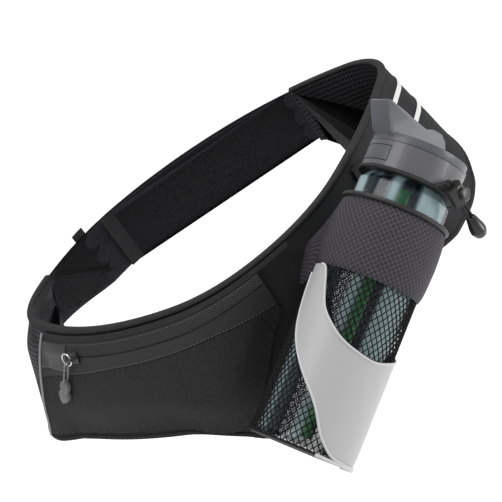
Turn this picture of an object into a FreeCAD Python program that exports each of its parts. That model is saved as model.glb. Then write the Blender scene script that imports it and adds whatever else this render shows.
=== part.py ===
import FreeCAD, Part
import math
import os
import Sketcher

# Running waist pack: an elastic mesh belt in a soft ring, a padded back panel with a zipped
# phone pocket, and a netting holster that carries a flip-lid drinking bottle at a slant.
# Frame: origin at the middle of the waist at half the belt's height, +Z up as worn,
# the pack on the -Y side. Lengths are millimetres.
#
# "Distance" is measured along the ring from the front point, positive towards the wearer's
# holster side (+X) and negative towards the pocket side (-X). "Standoff" is measured outwards
# from the face that touches the wearer.

SIZES = {
    # ring plan, counter-clockwise from the front point: turn in degrees and radius per arc
    "front_x": -14, "front_y": -132,
    "front_right_turn": 44, "front_right_radius": 145,
    "right_flank_turn": 15, "right_end_turn": 83, "right_end_radius": 50,
    "back_turn": 50, "back_left_turn": 40, "back_left_radius": 165,
    "left_end_turn": 56, "left_end_radius": 60,
    "left_flank_turn": 40, "left_flank_radius": 240, "front_left_radius": 100,
    # belt and panels
    "belt_top": 25, "belt_height": 50, "belt_thick": 4.5, "pad_thick": 5, "pocket_lean": 0.33,
    "wing_lean": 0.4, "hip_swell": 8, "holster_lean": 0.2, "edge_slant": 0.33,
    "binding_thick": 2, "binding_lap": 0.8,
    "left_wing_start": -300, "pocket_start": -203, "right_wing_start": 150, "right_wing_end": 372,
    "closure_start": -397, "closure_seam": -371, "closure_thick": 1.5, "hook_thick": 0.8,
    # pocket and zip
    "pocket_end": 12, "pocket_depth": 15, "cloth": 1.4, "zip_height": 12, "coil_width": 2.8,
    "zip_reach": 16.5, "slider_distance": -158, "slider_width": 9, "slider_length": 10,
    "slider_thick": 4.6, "slider_gap": 0.8, "pull_swing": 36,
    # bottle, along its own axis from the centre of its base
    "bottle_radius": 34, "bottle_height": 198, "bottle_wall": 1.6, "neck_radius": 27,
    "neck_height": 12, "bottle_shoulder": 6, "gasket_thick": 2.5, "cap_radius": 35.5,
    "cap_height": 18.5, "cap_wall": 2.2, "cap_gap": 0.35, "lid_gap": 0.4,
    "straw_radius": 5, "straw_wall": 1, "button_width": 26, "button_tall": 11, "button_thick": 3,
    "button_travel": 1.5, "pin_radius": 1.5, "pin_length": 22, "spout_radius": 7,
    # holster around the bottle
    "sleeve_gap": 2.2, "net_thick": 0.9, "boot_thick": 1.1, "collar_low": 123, "collar_high": 175,
    "collar_thick": 3, "collar_piping": 1.7, "boot_piping": 1.4, "base_thick": 1.2,
    # draw cord, its lock and its end
    "cord_radius": 1.25, "lock_radius": 7, "lock_height": 14, "lock_bore": 1.9,
    "lock_button_radius": 4.4, "lock_button_height": 6, "spring_radius": 3.4,
    "drop_radius": 6, "drop_height": 19,
}

doc = FreeCAD.newDocument("waist_pack")
sheet = doc.addObject("Spreadsheet::Sheet", "sizes")
for row, (alias, value) in enumerate(SIZES.items(), start=1):
    sheet.set(f"A{row}", alias)
    sheet.set(f"B{row}", str(value))
    sheet.setAlias(f"B{row}", alias)
doc.recompute()

EXPORTED = []
ORIGIN = FreeCAD.Vector(0, 0, 0)


def size(alias):
    """A driving dimension, read back from the sheet."""
    return float(getattr(sheet, alias))


def keep(feature, label):
    """Name a finished sub-part and put it on the list to be written."""
    feature.Label = label
    EXPORTED.append(feature)
    return feature


# ---------------------------------------------------------------- ring plan

def arc_end(turn_from, turn_to):
    """End of a unit arc that starts along +X turned by turn_from and ends at turn_to."""
    return (math.sin(turn_to) - math.sin(turn_from), math.cos(turn_from) - math.cos(turn_to))


def plan_arcs():
    """The ring's tangent arcs as (start angle, end angle, radius), the ring closed by solving
    the radii of the right flank and of the back."""
    names = ["front_right", "right_flank", "right_end", "back", "back_left",
             "left_end", "left_flank"]
    turns = [math.radians(size(name + "_turn")) for name in names]
    turns.append(2 * math.pi - sum(turns))
    names.append("front_left")
    angles = [sum(turns[:count]) for count in range(len(turns) + 1)]
    steps = [arc_end(angles[i], angles[i + 1]) for i in range(len(turns))]
    solved = ("right_flank", "back")
    rest = [0.0, 0.0]
    for name, step in zip(names, steps):
        if name not in solved:
            rest[0] -= size(name + "_radius") * step[0]
            rest[1] -= size(name + "_radius") * step[1]
    one, two = (steps[names.index(name)] for name in solved)
    area = one[0] * two[1] - one[1] * two[0]
    free = {solved[0]: (rest[0] * two[1] - rest[1] * two[0]) / area,
            solved[1]: (one[0] * rest[1] - one[1] * rest[0]) / area}
    radii = [free[name] if name in free else size(name + "_radius") for name in names]
    return [(angles[i], angles[i + 1], radii[i]) for i in range(len(radii))]


ARCS = plan_arcs()
RING = sum((end - start) * radius for start, end, radius in ARCS)
LEFT_FLANK = 6


def arc_centre(index):
    """Centre of one arc of the plan."""
    x, y = size("front_x"), size("front_y")
    for start, end, radius in ARCS[:index]:
        step = arc_end(start, end)
        x += radius * step[0]
        y += radius * step[1]
    start, _, radius = ARCS[index]
    return x - radius * math.sin(start), y + radius * math.cos(start)


def plan(distance):
    """Point of the plan and its outward normal at a distance along the ring."""
    left = distance % RING
    for index, (start, end, radius) in enumerate(ARCS):
        length = (end - start) * radius
        if left <= length or index == len(ARCS) - 1:
            break
        left -= length
    angle = start + left / radius
    centre = arc_centre(index)
    out = FreeCAD.Vector(math.sin(angle), -math.cos(angle), 0)
    return FreeCAD.Vector(centre[0], centre[1], 0) + out * radius, out


def blend(value, low, high):
    """Smooth step from 0 at low to 1 at high."""
    share = min(1.0, max(0.0, (value - low) / (high - low)))
    return share * share * (3 - 2 * share)


def wall(distance, height, standoff):
    """Point of the ring's wall."""
    point, out = plan(distance)
    drop = size("belt_top") - height
    out_of_line = lean(distance) * drop + hip(distance) * blend(drop, 0, 24)
    point += out * (standoff - size("pad_thick") + out_of_line)
    point.z = height
    return point


def table(stops):
    """A smooth function through (distance, value) stops, level where it turns back."""
    slopes = [(two[1] - one[1]) / (two[0] - one[0]) for one, two in zip(stops, stops[1:])]
    ends = [slopes[0]]
    for before, after in zip(slopes, slopes[1:]):
        ends.append(0.0 if before * after <= 0 else 2 * before * after / (before + after))
    ends.append(slopes[-1])

    def value(distance):
        distance = min(stops[-1][0], max(stops[0][0], distance))
        index = 0
        while index < len(stops) - 2 and distance > stops[index + 1][0]:
            index += 1
        (low, at_low), (high, at_high) = stops[index], stops[index + 1]
        width = high - low
        share = (distance - low) / width
        rise = share * share * (3 - 2 * share)
        curve_low = share * (1 - share) ** 2 * ends[index] * width
        curve_high = share * share * (1 - share) * ends[index + 1] * width
        return at_low + (at_high - at_low) * rise + curve_low - curve_high
    return value


# how far the wall leans outwards per millimetre below the belt's top
lean = table([(-350, 0), (-300, 0.36), (-250, size("wing_lean")), (-215, 0.38),
              (-180, size("pocket_lean")), (-100, 0.25), (-50, 0.17), (10, 0), (130, 0),
              (170, size("holster_lean")), (250, size("holster_lean")), (330, 0)])

# and how far the left wing swells out over the hip
hip = table([(-340, 0), (-290, size("hip_swell")), (-240, size("hip_swell")), (-200, 0)])


def slanted(distance, height):
    """Distance moved so that the seam between wing and pocket slants down and back."""
    share = blend(distance, -300, -215) * (1 - blend(distance, -190, -110))
    return distance - size("edge_slant") * share * (size("belt_top") - height)


def constant(number):
    """A function of the distance that is the same everywhere."""
    return lambda *_: number


# ---------------------------------------------------------------- solids from two skins

def skin(points):
    """A smooth face through a grid of points."""
    surface = Part.BSplineSurface()
    surface.interpolate(points)
    return surface


def side(one, two, edge):
    """Ruled face between the same edge of two skins."""
    curves = []
    for surface in (one, two):
        first_u, last_u, first_v, last_v = surface.bounds()
        iso = {"start": lambda: surface.uIso(first_u), "end": lambda: surface.uIso(last_u),
               "low": lambda: surface.vIso(first_v), "high": lambda: surface.vIso(last_v)}
        curves.append(Part.Wire(iso[edge]().toShape()))
    return Part.makeLoft(curves, False, True).Faces[0]


def between(inner_points, outer_points):
    """The closed solid between two grids of points of the same size."""
    inner, outer = skin(inner_points), skin(outer_points)
    faces = [inner.toShape(), outer.toShape()]
    faces += [side(inner, outer, edge) for edge in ("start", "end", "low", "high")]
    shell = Part.makeShell(faces)
    shell.sewShape()
    solid = Part.makeSolid(shell)
    if solid.Volume < 0:
        solid.reverse()
    return solid


def straight(distance, _):
    """A place on the wall that is not moved along it."""
    return distance


def strip(label, start, end, low, high, inner, outer, columns=12, rows=1, place=wall,
          move=straight):
    """A layer of the wall from start to end, between two heights and two standoffs. Each
    bound is a number, or a function of the distance (for a standoff, of the height too)."""
    low, high, inner, outer = (bound if callable(bound) else constant(bound)
                               for bound in (low, high, inner, outer))
    grids = ([], [])
    for column in range(columns + 1):
        distance = start + (end - start) * column / columns
        for grid, standoff in zip(grids, (inner, outer)):
            line = []
            for row in range(rows + 1):
                height = low(distance) + (high(distance) - low(distance)) * row / rows
                moved = move(distance, height)
                line.append(place(moved, height, standoff(moved, height)))
            grid.append(line)
    feature = doc.addObject("Part::Feature", label)
    feature.Shape = between(*grids)
    return keep(feature, label)


# ---------------------------------------------------------------- back panel, wings and belt

TOP = size("belt_top")
LOW = TOP - size("belt_height")
PAD = size("pad_thick")
panel_low = table([(-300, LOW), (-280, -40), (-255, -58), (-225, -66), (-150, -60), (-96, -64),
                   (-57, -80), (-40, -92), (0, -98), (100, -96), (150, -83), (212, -88),
                   (232, -86), (252, -74), (270, -60), (300, -46), (340, -34), (372, LOW)])


def back_panels():
    """The padded back panel, the two wings and the mesh lining of the right one."""
    start, wing = size("pocket_start"), size("right_wing_start")
    last, lining = size("right_wing_end"), 2.8
    strip("back_pad", start, wing, panel_low, TOP, 0, PAD, 32, 3, move=slanted)
    strip("left_wing", size("left_wing_start"), start, panel_low, TOP, 0, PAD, 12, 3,
          move=slanted)
    strip("right_wing", wing, last, panel_low, TOP, lining, PAD, 20, 2)
    strip("right_wing_lining", wing, last, panel_low, TOP, 0, lining, 20, 2)


def bindings():
    """The folded tapes that close the panel's top and bottom edges."""
    thick, lap = size("binding_thick"), size("binding_lap")
    first, last = size("left_wing_start"), size("right_wing_end")
    strip("top_binding", first, last, TOP, TOP + thick, -lap, PAD + lap, 48)
    strip("bottom_binding", first, last, lambda distance: panel_low(distance) - thick,
          panel_low, -lap, PAD + lap, 56, move=slanted)


def belt():
    """The elastic mesh belt in two lengths, the end panel that laps over the joint inside
    the ring, the hook tape under it and the tab to pull it open by."""
    thick = size("belt_thick")
    seam, first = size("closure_seam"), size("closure_start")
    hook, cover = size("hook_thick"), size("closure_thick")
    strip("belt_right", size("right_wing_end"), RING + seam, LOW, TOP, 0, thick, 16)
    strip("belt_left", seam, size("left_wing_start"), LOW, TOP, 0, thick, 6)
    gap = 0.3
    end_panel_inner = -gap - hook - cover
    strip("hook_tape", first + 3, seam - 3, LOW + 5, TOP - 5, -gap - hook, -gap, 4)
    strip("closure_panel", first, seam - 0.5, LOW, TOP, end_panel_inner, -gap - hook, 4)
    strip("belt_tab", seam + 16, seam + 28, TOP + 0.2, TOP + 7, 0.8, 2.4, 3)


def reflective_strips():
    """Two woven reflective ribbons sewn along the outside of the right wing."""
    thick, width = 0.5, 4.6
    ribbon = PAD + 0.1
    middle_high = table([(150, 9), (234, 9), (330, 3)])
    middle_low = table([(150, -15), (234, -15), (330, -18)])
    for label, middle in (("reflective_strip_upper", middle_high),
                          ("reflective_strip_lower", middle_low)):
        strip(label, 168, 325, lambda s, m=middle: m(s) - width / 2,
              lambda s, m=middle: m(s) + width / 2, ribbon, ribbon + thick, 12)


# ---------------------------------------------------------------- zipped pocket

DEPTH = size("pocket_depth")
CLOTH = size("cloth")
ZIP = size("zip_height")
FLOOR = PAD + 0.3 + CLOTH
lower_seam = table([(-203, -8), (-160, -2), (-110, 1), (-45, 1), (-17, -3), (12, -9)])
upper_seam = table([(-203, 21), (12, 21)])
# the pocket's lower edge follows the panel, then climbs beside the holster
pocket_low = table([(-203, -60), (-150, -55), (-96, -59), (-70, -72), (-56, -76), (-42, -69),
                    (-23, -50), (-4, -28), (12, -15)])


def zip_standoff(distance):
    """Standoff of the zip, which keeps one radius from the flank's centre."""
    right = 1 - 0.35 * blend(distance, -60, size("pocket_end"))
    return (size("zip_reach") - lean(distance) * (TOP - ZIP)) * right


def relief(distance, height):
    """Standoff of the pocket's outside, from the top edge over the zip to the bottom seam."""
    crown = FLOOR + (zip_standoff(distance) - FLOOR) * blend(TOP - height, -4, TOP - ZIP)
    if height >= ZIP:
        return crown
    right = 1 - 0.5 * blend(distance, -80, size("pocket_end"))
    left = 0.55 + 0.45 * blend(distance, -240, -170)
    full = FLOOR + (DEPTH - FLOOR) * right * left
    belly = zip_standoff(distance) + (full - zip_standoff(distance)) * blend(ZIP - height, 0, 22)
    bottom = pocket_low(distance)
    tuck = blend(height, bottom - 1, bottom + 34)
    return FLOOR + (belly - FLOOR) * tuck


def layer(depth, thick):
    """Inner and outer standoffs of a layer that lies under the pocket's outside."""
    return (lambda distance, height: relief(distance, height) - depth - thick,
            lambda distance, height: relief(distance, height) - depth)


def pocket():
    """Front, yoke, end gusset and lining of the phone pocket, and its zip."""
    start, end = size("pocket_start"), size("pocket_end")
    half = size("coil_width") / 2
    shell = layer(0, CLOTH)
    strip("pocket_front", start, end, pocket_low, lower_seam, *shell, 30, 8, move=slanted)
    strip("pocket_yoke", start, end + 30, upper_seam, TOP - 0.3, *shell, 24, 2, move=slanted)
    strip("zip_tape_upper", start, end, ZIP + half, upper_seam, *shell, 24, 3, move=slanted)
    strip("zip_tape_lower", start, end, lower_seam, ZIP - half, *shell, 24, 4, move=slanted)
    strip("zip_coil", start + 6, end - 4, ZIP - half + 0.05, ZIP + half - 0.05, *shell, 24,
          move=slanted)
    strip("pocket_gusset", start - CLOTH, start - 0.05, -57, TOP - 2, PAD + 0.1,
          lambda distance, height: relief(distance, height) - 0.3, 2, 8, move=slanted)
    strip("pocket_lining", start + 2, end - 4, lambda distance: pocket_low(distance) + 3,
          TOP - 3, PAD + 0.05, PAD + 0.25, 20, move=slanted)
    strip("garage_patch", start + 1, size("slider_distance") - 8.5, 1, 20,
          lambda distance, height: relief(distance, height) + 0.1,
          lambda distance, height: relief(distance, height) + 0.8, 4, 4, move=slanted)
    points = []
    for step in range(13):
        height = TOP - 1 - (TOP + 61) * step / 12
        moved = slanted(start - 0.8, height)
        points.append(wall(moved, height, relief(moved, height) + size("boot_piping")))
    rope("pocket_piping", points, size("boot_piping"))


def rope(label, points, radius):
    """A round cord along a smooth curve through points."""
    curve = Part.BSplineCurve()
    curve.interpolate(points)
    disc = Part.Circle(points[0], points[1] - points[0], radius)
    profile = Part.Face(Part.Wire(disc.toShape()))
    feature = doc.addObject("Part::Feature", label)
    feature.Shape = Part.Wire(curve.toShape()).makePipe(profile)
    return keep(feature, label)


def tube_between(label, one, two, radius_alias):
    """A straight round tube between two points."""
    tube = doc.addObject("Part::Cylinder", label)
    tube.setExpression("Radius", f"sizes.{radius_alias}")
    tube.Height = (two - one).Length
    turn = FreeCAD.Rotation(FreeCAD.Vector(0, 0, 1), two - one)
    tube.Placement = FreeCAD.Placement(one, turn)
    return keep(tube, label)


# ---------------------------------------------------------------- slider and its pull

def track_frame(distance, height, standoff):
    """Placement on the wall: X along the ring, Y up the leaning wall, Z straight out."""
    step = 0.5
    along = wall(distance + step, height, standoff) - wall(distance - step, height, standoff)
    rise = wall(distance, height + step, standoff) - wall(distance, height - step, standoff)
    out = along.cross(rise)
    turn = FreeCAD.Rotation(along, rise, out, "ZXY")
    return FreeCAD.Placement(wall(distance, height, standoff), turn)


def sketch_on(body, plane_role, points):
    """Closed outline on one of the body's own planes. Every corner is held by two distances
    from the origin, each bound to an expression on the sheet."""
    sketch = body.newObject("Sketcher::SketchObject", body.Name + "_outline")
    planes = [item for item in body.Origin.OriginFeatures if item.Role == plane_role]
    sketch.AttachmentSupport = (planes[0], "")
    sketch.MapMode = "FlatFace"
    values = [(evaluate(across), evaluate(up)) for across, up in points]
    count = len(points)
    for index in range(count):
        one = FreeCAD.Vector(*values[index], 0)
        two = FreeCAD.Vector(*values[(index + 1) % count], 0)
        sketch.addGeometry(Part.LineSegment(one, two), False)
    for index in range(count):
        sketch.addConstraint(Sketcher.Constraint("Coincident", index, 2, (index + 1) % count, 1))
    for index, (across, up) in enumerate(points):
        for kind, text, value in (("DistanceX", across, values[index][0]),
                                  ("DistanceY", up, values[index][1])):
            number = sketch.addConstraint(Sketcher.Constraint(kind, -1, 1, index, 1, value))
            sketch.setExpression(f"Constraints[{number}]", in_sheet(text))
    return sketch


def in_sheet(text):
    """An expression written with the sheet's aliases, as FreeCAD wants it."""
    words = []
    for word in text.split():
        words.append("sizes." + word if word in SIZES else word)
    return " ".join(words)


def evaluate(text):
    """The value of such an expression."""
    total, sign = 0.0, 1
    for word in text.split():
        if word in "+-":
            sign = 1 if word == "+" else -1
        else:
            total += sign * (size(word) if word in SIZES else float(word))
            sign = 1
    return total


def turned_body(label, points, placement):
    """A PartDesign body of revolution about its own Z axis from (radius, height) corners."""
    body = doc.addObject("PartDesign::Body", label)
    sketch = sketch_on(body, "XZ_Plane", points)
    turn = body.newObject("PartDesign::Revolution", label + "_turn")
    turn.Profile = sketch
    turn.ReferenceAxis = (sketch, ["V_Axis"])
    turn.Angle = 360
    body.Placement = placement
    return body


def plate_body(label, points, width_alias, placement):
    """A PartDesign body padded both ways from an outline in its own XZ plane."""
    body = doc.addObject("PartDesign::Body", label)
    sketch = sketch_on(body, "XZ_Plane", points)
    pad = body.newObject("PartDesign::Pad", label + "_pad")
    pad.Profile = sketch
    pad.setExpression("Length", f"sizes.{width_alias}")
    pad.Midplane = True
    body.Placement = placement
    return body


def primitive(kind, name, placement, **bound):
    """A Part primitive whose sizes are expressions on the sheet."""
    item = doc.addObject("Part::" + kind, name)
    for key, text in bound.items():
        item.setExpression(key, in_sheet(text))
    item.Placement = placement
    return item


def cut(name, base, tool):
    """Part::Cut of two objects."""
    result = doc.addObject("Part::Cut", name)
    result.Base = base
    result.Tool = tool
    return result


def fuse(name, *shapes):
    """Part::MultiFuse of several objects."""
    result = doc.addObject("Part::MultiFuse", name)
    result.Shapes = list(shapes)
    return result


def shift(frame, x=0.0, y=0.0, z=0.0, turn_z=0.0):
    """A placement moved and turned about Z inside another."""
    turn = FreeCAD.Rotation(FreeCAD.Vector(0, 0, 1), turn_z)
    return frame.multiply(FreeCAD.Placement(FreeCAD.Vector(x, y, z), turn))


def arc_shell(label, frame, inner, outer, low, tall, start, sweep):
    """A wall of constant thickness around a frame's Z axis, from a start angle in degrees.
    Radii and heights are expressions."""
    base = shift(frame, z=evaluate(low), turn_z=start)
    core = primitive("Cylinder", label + "_core", base, Radius=inner, Height=tall)
    drum = primitive("Cylinder", label + "_drum", base, Radius=outer, Height=tall)
    drum.Angle = sweep
    return cut(label, drum, core)


# ---------------------------------------------------------------- zip slider and its pull

PLATE_THICK = 1.6
BRIDGE_HOLE = size("slider_gap") + 2 * PLATE_THICK + 1
LOOP_RADIUS = 5.0
LOOP_WIRE = 0.55
BRIDGE_LONG = 4.4
BRIDGE_WIDE = 2.4
SLIDER = track_frame(size("slider_distance"), ZIP, zip_standoff(size("slider_distance")))


def zip_slider():
    """Slider on the coil: a flat body with a bridge, drilled across for the wire loop."""
    gap = size("slider_gap")
    plate = primitive("Box", "slider_plate",
                      shift(SLIDER, -size("slider_length") / 2, -size("slider_width") / 2, gap),
                      Length="slider_length", Width="slider_width", Height=str(PLATE_THICK))
    bridge = primitive("Box", "slider_bridge",
                       shift(SLIDER, -BRIDGE_LONG / 2, -BRIDGE_WIDE / 2, gap + PLATE_THICK - 0.1),
                       Length=str(BRIDGE_LONG), Width=str(BRIDGE_WIDE),
                       Height="slider_thick - 0.6")
    lay = FreeCAD.Placement(FreeCAD.Vector(0, 2, BRIDGE_HOLE),
                            FreeCAD.Rotation(FreeCAD.Vector(1, 0, 0), 90))
    hole = primitive("Cylinder", "slider_hole", SLIDER.multiply(lay), Radius="1", Height="4")
    keep(cut("zip_slider", fuse("slider_solid", plate, bridge), hole), "zip_slider")


def slider_loop():
    """Wire loop through the bridge, lying towards the closed end."""
    ring = primitive("Torus", "slider_loop", shift(SLIDER, -LOOP_RADIUS, 0, BRIDGE_HOLE),
                     Radius1=str(LOOP_RADIUS), Radius2=str(LOOP_WIRE))
    keep(ring, "slider_loop")


def pull_frame():
    """Frame where the pull hangs on the wire loop: X along the pull, Z out of the wall. The
    cord runs square across the wire there."""
    turn = FreeCAD.Rotation(FreeCAD.Vector(0, 0, 1), -90 - size("pull_swing"))
    centre = shift(SLIDER, -LOOP_RADIUS, 0, BRIDGE_HOLE)
    return shift(centre.multiply(FreeCAD.Placement(ORIGIN, turn)), LOOP_RADIUS)


def zip_pull():
    """Cord looped round the wire and moulded into a flat rubber grip."""
    frame = pull_frame()
    strand, bend, straight = 0.6, 2.0, 18.0
    upright = FreeCAD.Rotation(FreeCAD.Vector(1, 0, 0), 90)
    ends = []
    for way in (-1, 1):
        lay = FreeCAD.Placement(FreeCAD.Vector(0, 0, way * bend),
                                FreeCAD.Rotation(FreeCAD.Vector(0, 1, 0), 90))
        run = primitive("Cylinder", "pull_strand", frame.multiply(lay),
                        Radius=str(strand), Height=str(straight))
        ends.append(run)
    half = primitive("Torus", "pull_bend",
                     frame.multiply(FreeCAD.Placement(ORIGIN, upright)),
                     Radius1=str(bend), Radius2=str(strand))
    half.Angle3 = 180
    half.Placement = half.Placement.multiply(
        FreeCAD.Placement(ORIGIN, FreeCAD.Rotation(FreeCAD.Vector(0, 0, 1), 90)))
    keep(fuse("pull_cord", half, *ends), "pull_cord")
    outline = [(0, -2.6), (3, -4.2), (7, -4.6), (10, -3.2), (12, -4.6), (16, -5.4), (20, -3.4),
               (23.5, 0), (20, 3.4), (16, 5.4), (12, 4.6), (10, 3.2), (7, 4.6), (3, 4.2),
               (0, 2.6)]
    lay = FreeCAD.Placement(FreeCAD.Vector(straight, 0, 0),
                            FreeCAD.Rotation(FreeCAD.Vector(1, 0, 0), 90))
    grip = plate_body("pull_tab", [(str(x), str(z)) for x, z in outline], "slider_thick",
                      frame.multiply(lay))
    keep(grip, "pull_tab")


# ---------------------------------------------------------------- bottle

BASE = FreeCAD.Vector(-47, -197.7, -77.9)
AXIS = FreeCAD.Vector(0.842, 0.3346, 0.4232).normalize()
OUT = FreeCAD.Vector(AXIS.y, -AXIS.x, 0).normalize()
BOTTLE = FreeCAD.Placement(BASE, FreeCAD.Rotation(OUT, AXIS.cross(OUT), AXIS, "ZXY"))
LID_FRONT = -92.0
CAP_LOW = "bottle_height + gasket_thick + 0.4"
CAP_TOP = CAP_LOW + " + cap_height"
KNUCKLE = 2.6
EAR_THICK = 2.7
EAR_INSIDE = 8.3
HINGE_X = -(size("cap_radius") - 1.5)
HINGE_Z = evaluate(CAP_TOP) + 3.0
BUTTON_LOW = evaluate(CAP_LOW) + 3.6


def bottle():
    """Blown drinking bottle with its neck, and the seal on its shoulder."""
    outline = [("0", "0"), ("bottle_radius - 4", "0"), ("bottle_radius", "4"),
               ("bottle_radius", "bottle_height - bottle_shoulder"),
               ("neck_radius + 2", "bottle_height"), ("neck_radius", "bottle_height"),
               ("neck_radius", "bottle_height + neck_height"),
               ("neck_radius - bottle_wall", "bottle_height + neck_height"),
               ("neck_radius - bottle_wall", "bottle_height - bottle_wall"),
               ("bottle_radius - bottle_wall", "bottle_height - bottle_shoulder - bottle_wall"),
               ("bottle_radius - bottle_wall", "4"),
               ("bottle_radius - bottle_wall - 3", "bottle_wall"), ("0", "bottle_wall")]
    keep(turned_body("bottle_body", outline, BOTTLE), "bottle_body")
    seal = arc_shell("gasket", BOTTLE, "neck_radius + 0.3", "bottle_radius + 0.4",
                     "bottle_height + 0.2", "gasket_thick", 0, 360)
    keep(seal, "gasket")


def front(x=0.0, y=0.0, z=0.0):
    """A place in the cap's frame: X towards the lid's front, Z along the bottle."""
    return shift(shift(BOTTLE, turn_z=LID_FRONT), x, y, z)


def cap():
    """Screw cap with a window for its catch button and two ears for the lid's hinge."""
    low, top = CAP_LOW, CAP_TOP
    outline = [("cap_radius", low), ("cap_radius", top), ("4", top), ("4", top + " - cap_wall"),
               ("neck_radius + cap_gap", top + " - cap_wall"), ("neck_radius + cap_gap", low),
               ("neck_radius + 2", low), ("neck_radius + 2", top + " - 4.4"),
               ("cap_radius - cap_wall", top + " - 4.4"), ("cap_radius - cap_wall", low)]
    shell = turned_body("cap_shell", outline, BOTTLE)
    half = size("button_width") / 2 + size("cap_gap")
    window = primitive("Box", "cap_window",
                       front(size("cap_radius") - 5.5, -half, BUTTON_LOW - size("cap_gap")),
                       Length="8", Width="button_width + cap_gap + cap_gap",
                       Height="button_tall + cap_gap + cap_gap")
    ears = []
    for way in (-1, 1):
        near = way * EAR_INSIDE if way > 0 else way * EAR_INSIDE - EAR_THICK
        ears.append(primitive("Box", "cap_ear", front(HINGE_X - KNUCKLE, near, evaluate(top) - 0.5),
                              Length=str(2 * KNUCKLE), Width=str(EAR_THICK),
                              Height=str(KNUCKLE * 2 + 0.9)))
    lay = FreeCAD.Rotation(FreeCAD.Vector(1, 0, 0), 90)
    bore = primitive("Cylinder", "ear_bore",
                     front(HINGE_X, 20, HINGE_Z).multiply(FreeCAD.Placement(ORIGIN, lay)),
                     Radius="pin_radius + 0.05", Height="40")
    keep(cut("cap", cut("cap_open", fuse("cap_solid", shell, *ears), window), bore), "cap")


def cap_button():
    """Catch button, a block with the cap's curve on its face, inside the window."""
    half = size("button_width") / 2
    block = primitive("Box", "button_block",
                      front(size("cap_radius") - 4.3, -half, BUTTON_LOW),
                      Length="6", Width="button_width", Height="button_tall")
    drum = primitive("Cylinder", "button_drum", front(z=BUTTON_LOW - 2),
                     Radius="cap_radius + 0.3", Height="button_tall + 4")
    face = doc.addObject("Part::Common", "cap_button")
    face.Base = block
    face.Tool = drum
    keep(face, "cap_button")


def lid():
    """Flip lid: a disc with the raised spout hood and thumb ridge, and its hinge knuckle."""
    gap = size("lid_gap")
    top = evaluate(CAP_TOP) + gap
    disc = primitive("Cylinder", "lid_disc", front(z=top), Radius="cap_radius - 0.4", Height="6")
    back = primitive("Box", "lid_back", front(-60, -60, top - 1),
                     Length=str(60 + HINGE_X + KNUCKLE + 1.3), Width="120", Height="20")
    outline = [(-30, 2), (-30, 9), (-12, 12), (-9, 18), (-4, 21.5), (4, 21.5), (9, 19),
               (14, 19.5), (34, 23), (47, 24.5), (48.5, 23), (44, 15), (38, 6), (33, 2)]
    hood = plate_body("lid_hood", [(str(x), str(z)) for x, z in outline], "pin_length",
                      front(z=top))
    bore = primitive("Cylinder", "lid_chamber", front(z=top - 1), Radius="spout_radius + 2",
                     Height="16")
    lay = FreeCAD.Rotation(FreeCAD.Vector(1, 0, 0), 90)
    place = lambda y: front(HINGE_X, y, HINGE_Z).multiply(FreeCAD.Placement(ORIGIN, lay))
    knuckle = primitive("Cylinder", "lid_knuckle", place(EAR_INSIDE - 0.4),
                        Radius=str(KNUCKLE), Height=str(2 * (EAR_INSIDE - 0.4)))
    tongue = primitive("Box", "lid_tongue", front(HINGE_X, -EAR_INSIDE + 0.4, top),
                       Length="8", Width=str(2 * (EAR_INSIDE - 0.4)), Height="5.2")
    hole = primitive("Cylinder", "lid_hole", place(20), Radius="pin_radius + 0.05", Height="40")
    body = fuse("lid_solid", cut("lid_plate", disc, back), hood, knuckle, tongue)
    keep(cut("lid", cut("lid_hollow", body, bore), hole), "lid")
    pin = primitive("Cylinder", "lid_pin", place(size("pin_length") / 2),
                    Radius="pin_radius", Height="pin_length")
    keep(pin, "lid_pin")


def drinking_parts():
    """Bite spout on the cap, and the straw with the sleeve that plugs it in."""
    top = CAP_TOP
    spout = arc_shell("spout", BOTTLE, "4", "spout_radius", top + " + 0.02", "11", 0, 360)
    keep(spout, "spout")
    sleeve_low = "bottle_height - 3"
    sleeve = arc_shell("straw_sleeve", BOTTLE, "straw_radius + 0.02", "straw_radius + 1.4",
                       sleeve_low, "cap_height + gasket_thick + 1.2", 0, 360)
    keep(sleeve, "straw_sleeve")
    straw = arc_shell("straw", BOTTLE, "straw_radius - straw_wall", "straw_radius", "8",
                      "bottle_height - 3", 0, 360)
    keep(straw, "straw")


# ---------------------------------------------------------------- holster

SLEEVE_START = -120.0
SLEEVE_SWEEP = 238.0
NET_IN = "bottle_radius + sleeve_gap"
NET_OUT = NET_IN + " + net_thick"


def around(angle, height, standoff):
    """Point around the bottle: angle in degrees from straight out, standoff is the radius."""
    turn = math.radians(angle)
    return BOTTLE.multVec(FreeCAD.Vector(standoff * math.cos(turn), standoff * math.sin(turn),
                                         height))


def leg(label, angle, low, high, attach_low, attach_high, near, far):
    """Straight side of the holster, from the sleeve's edge back to the panel. The attachment
    runs between two (distance, height) places; near and far are its two faces' shifts."""
    columns, rows = 6, 2
    grids = ([], [])
    edge_radius = evaluate(NET_OUT)
    full = size("collar_high")
    for column in range(columns + 1):
        height = low + (high - low) * column / columns
        share = height / full
        from_point = around(angle, height, edge_radius)
        distance = attach_low[0] + (attach_high[0] - attach_low[0]) * share
        level = attach_low[1] + (attach_high[1] - attach_low[1]) * share
        to_point = wall(distance, level, PAD + 0.2)
        along = (to_point - from_point)
        normal = along.cross(AXIS).normalize()
        if normal.dot(from_point - BOTTLE.multVec(FreeCAD.Vector(0, 0, height))) < 0:
            normal = normal * -1
        for grid, lift in zip(grids, (near, far)):
            line = []
            for row in range(rows + 1):
                line.append(from_point + along * (row / rows) + normal * lift)
            grid.append(line)
    feature = doc.addObject("Part::Feature", label)
    feature.Shape = between(*grids)
    return feature


UPPER_LEG = (SLEEVE_START, (-24, -62), (58, 10))
LOWER_LEG = (SLEEVE_START + SLEEVE_SWEEP, (20, -92), (140, -62))


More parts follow.
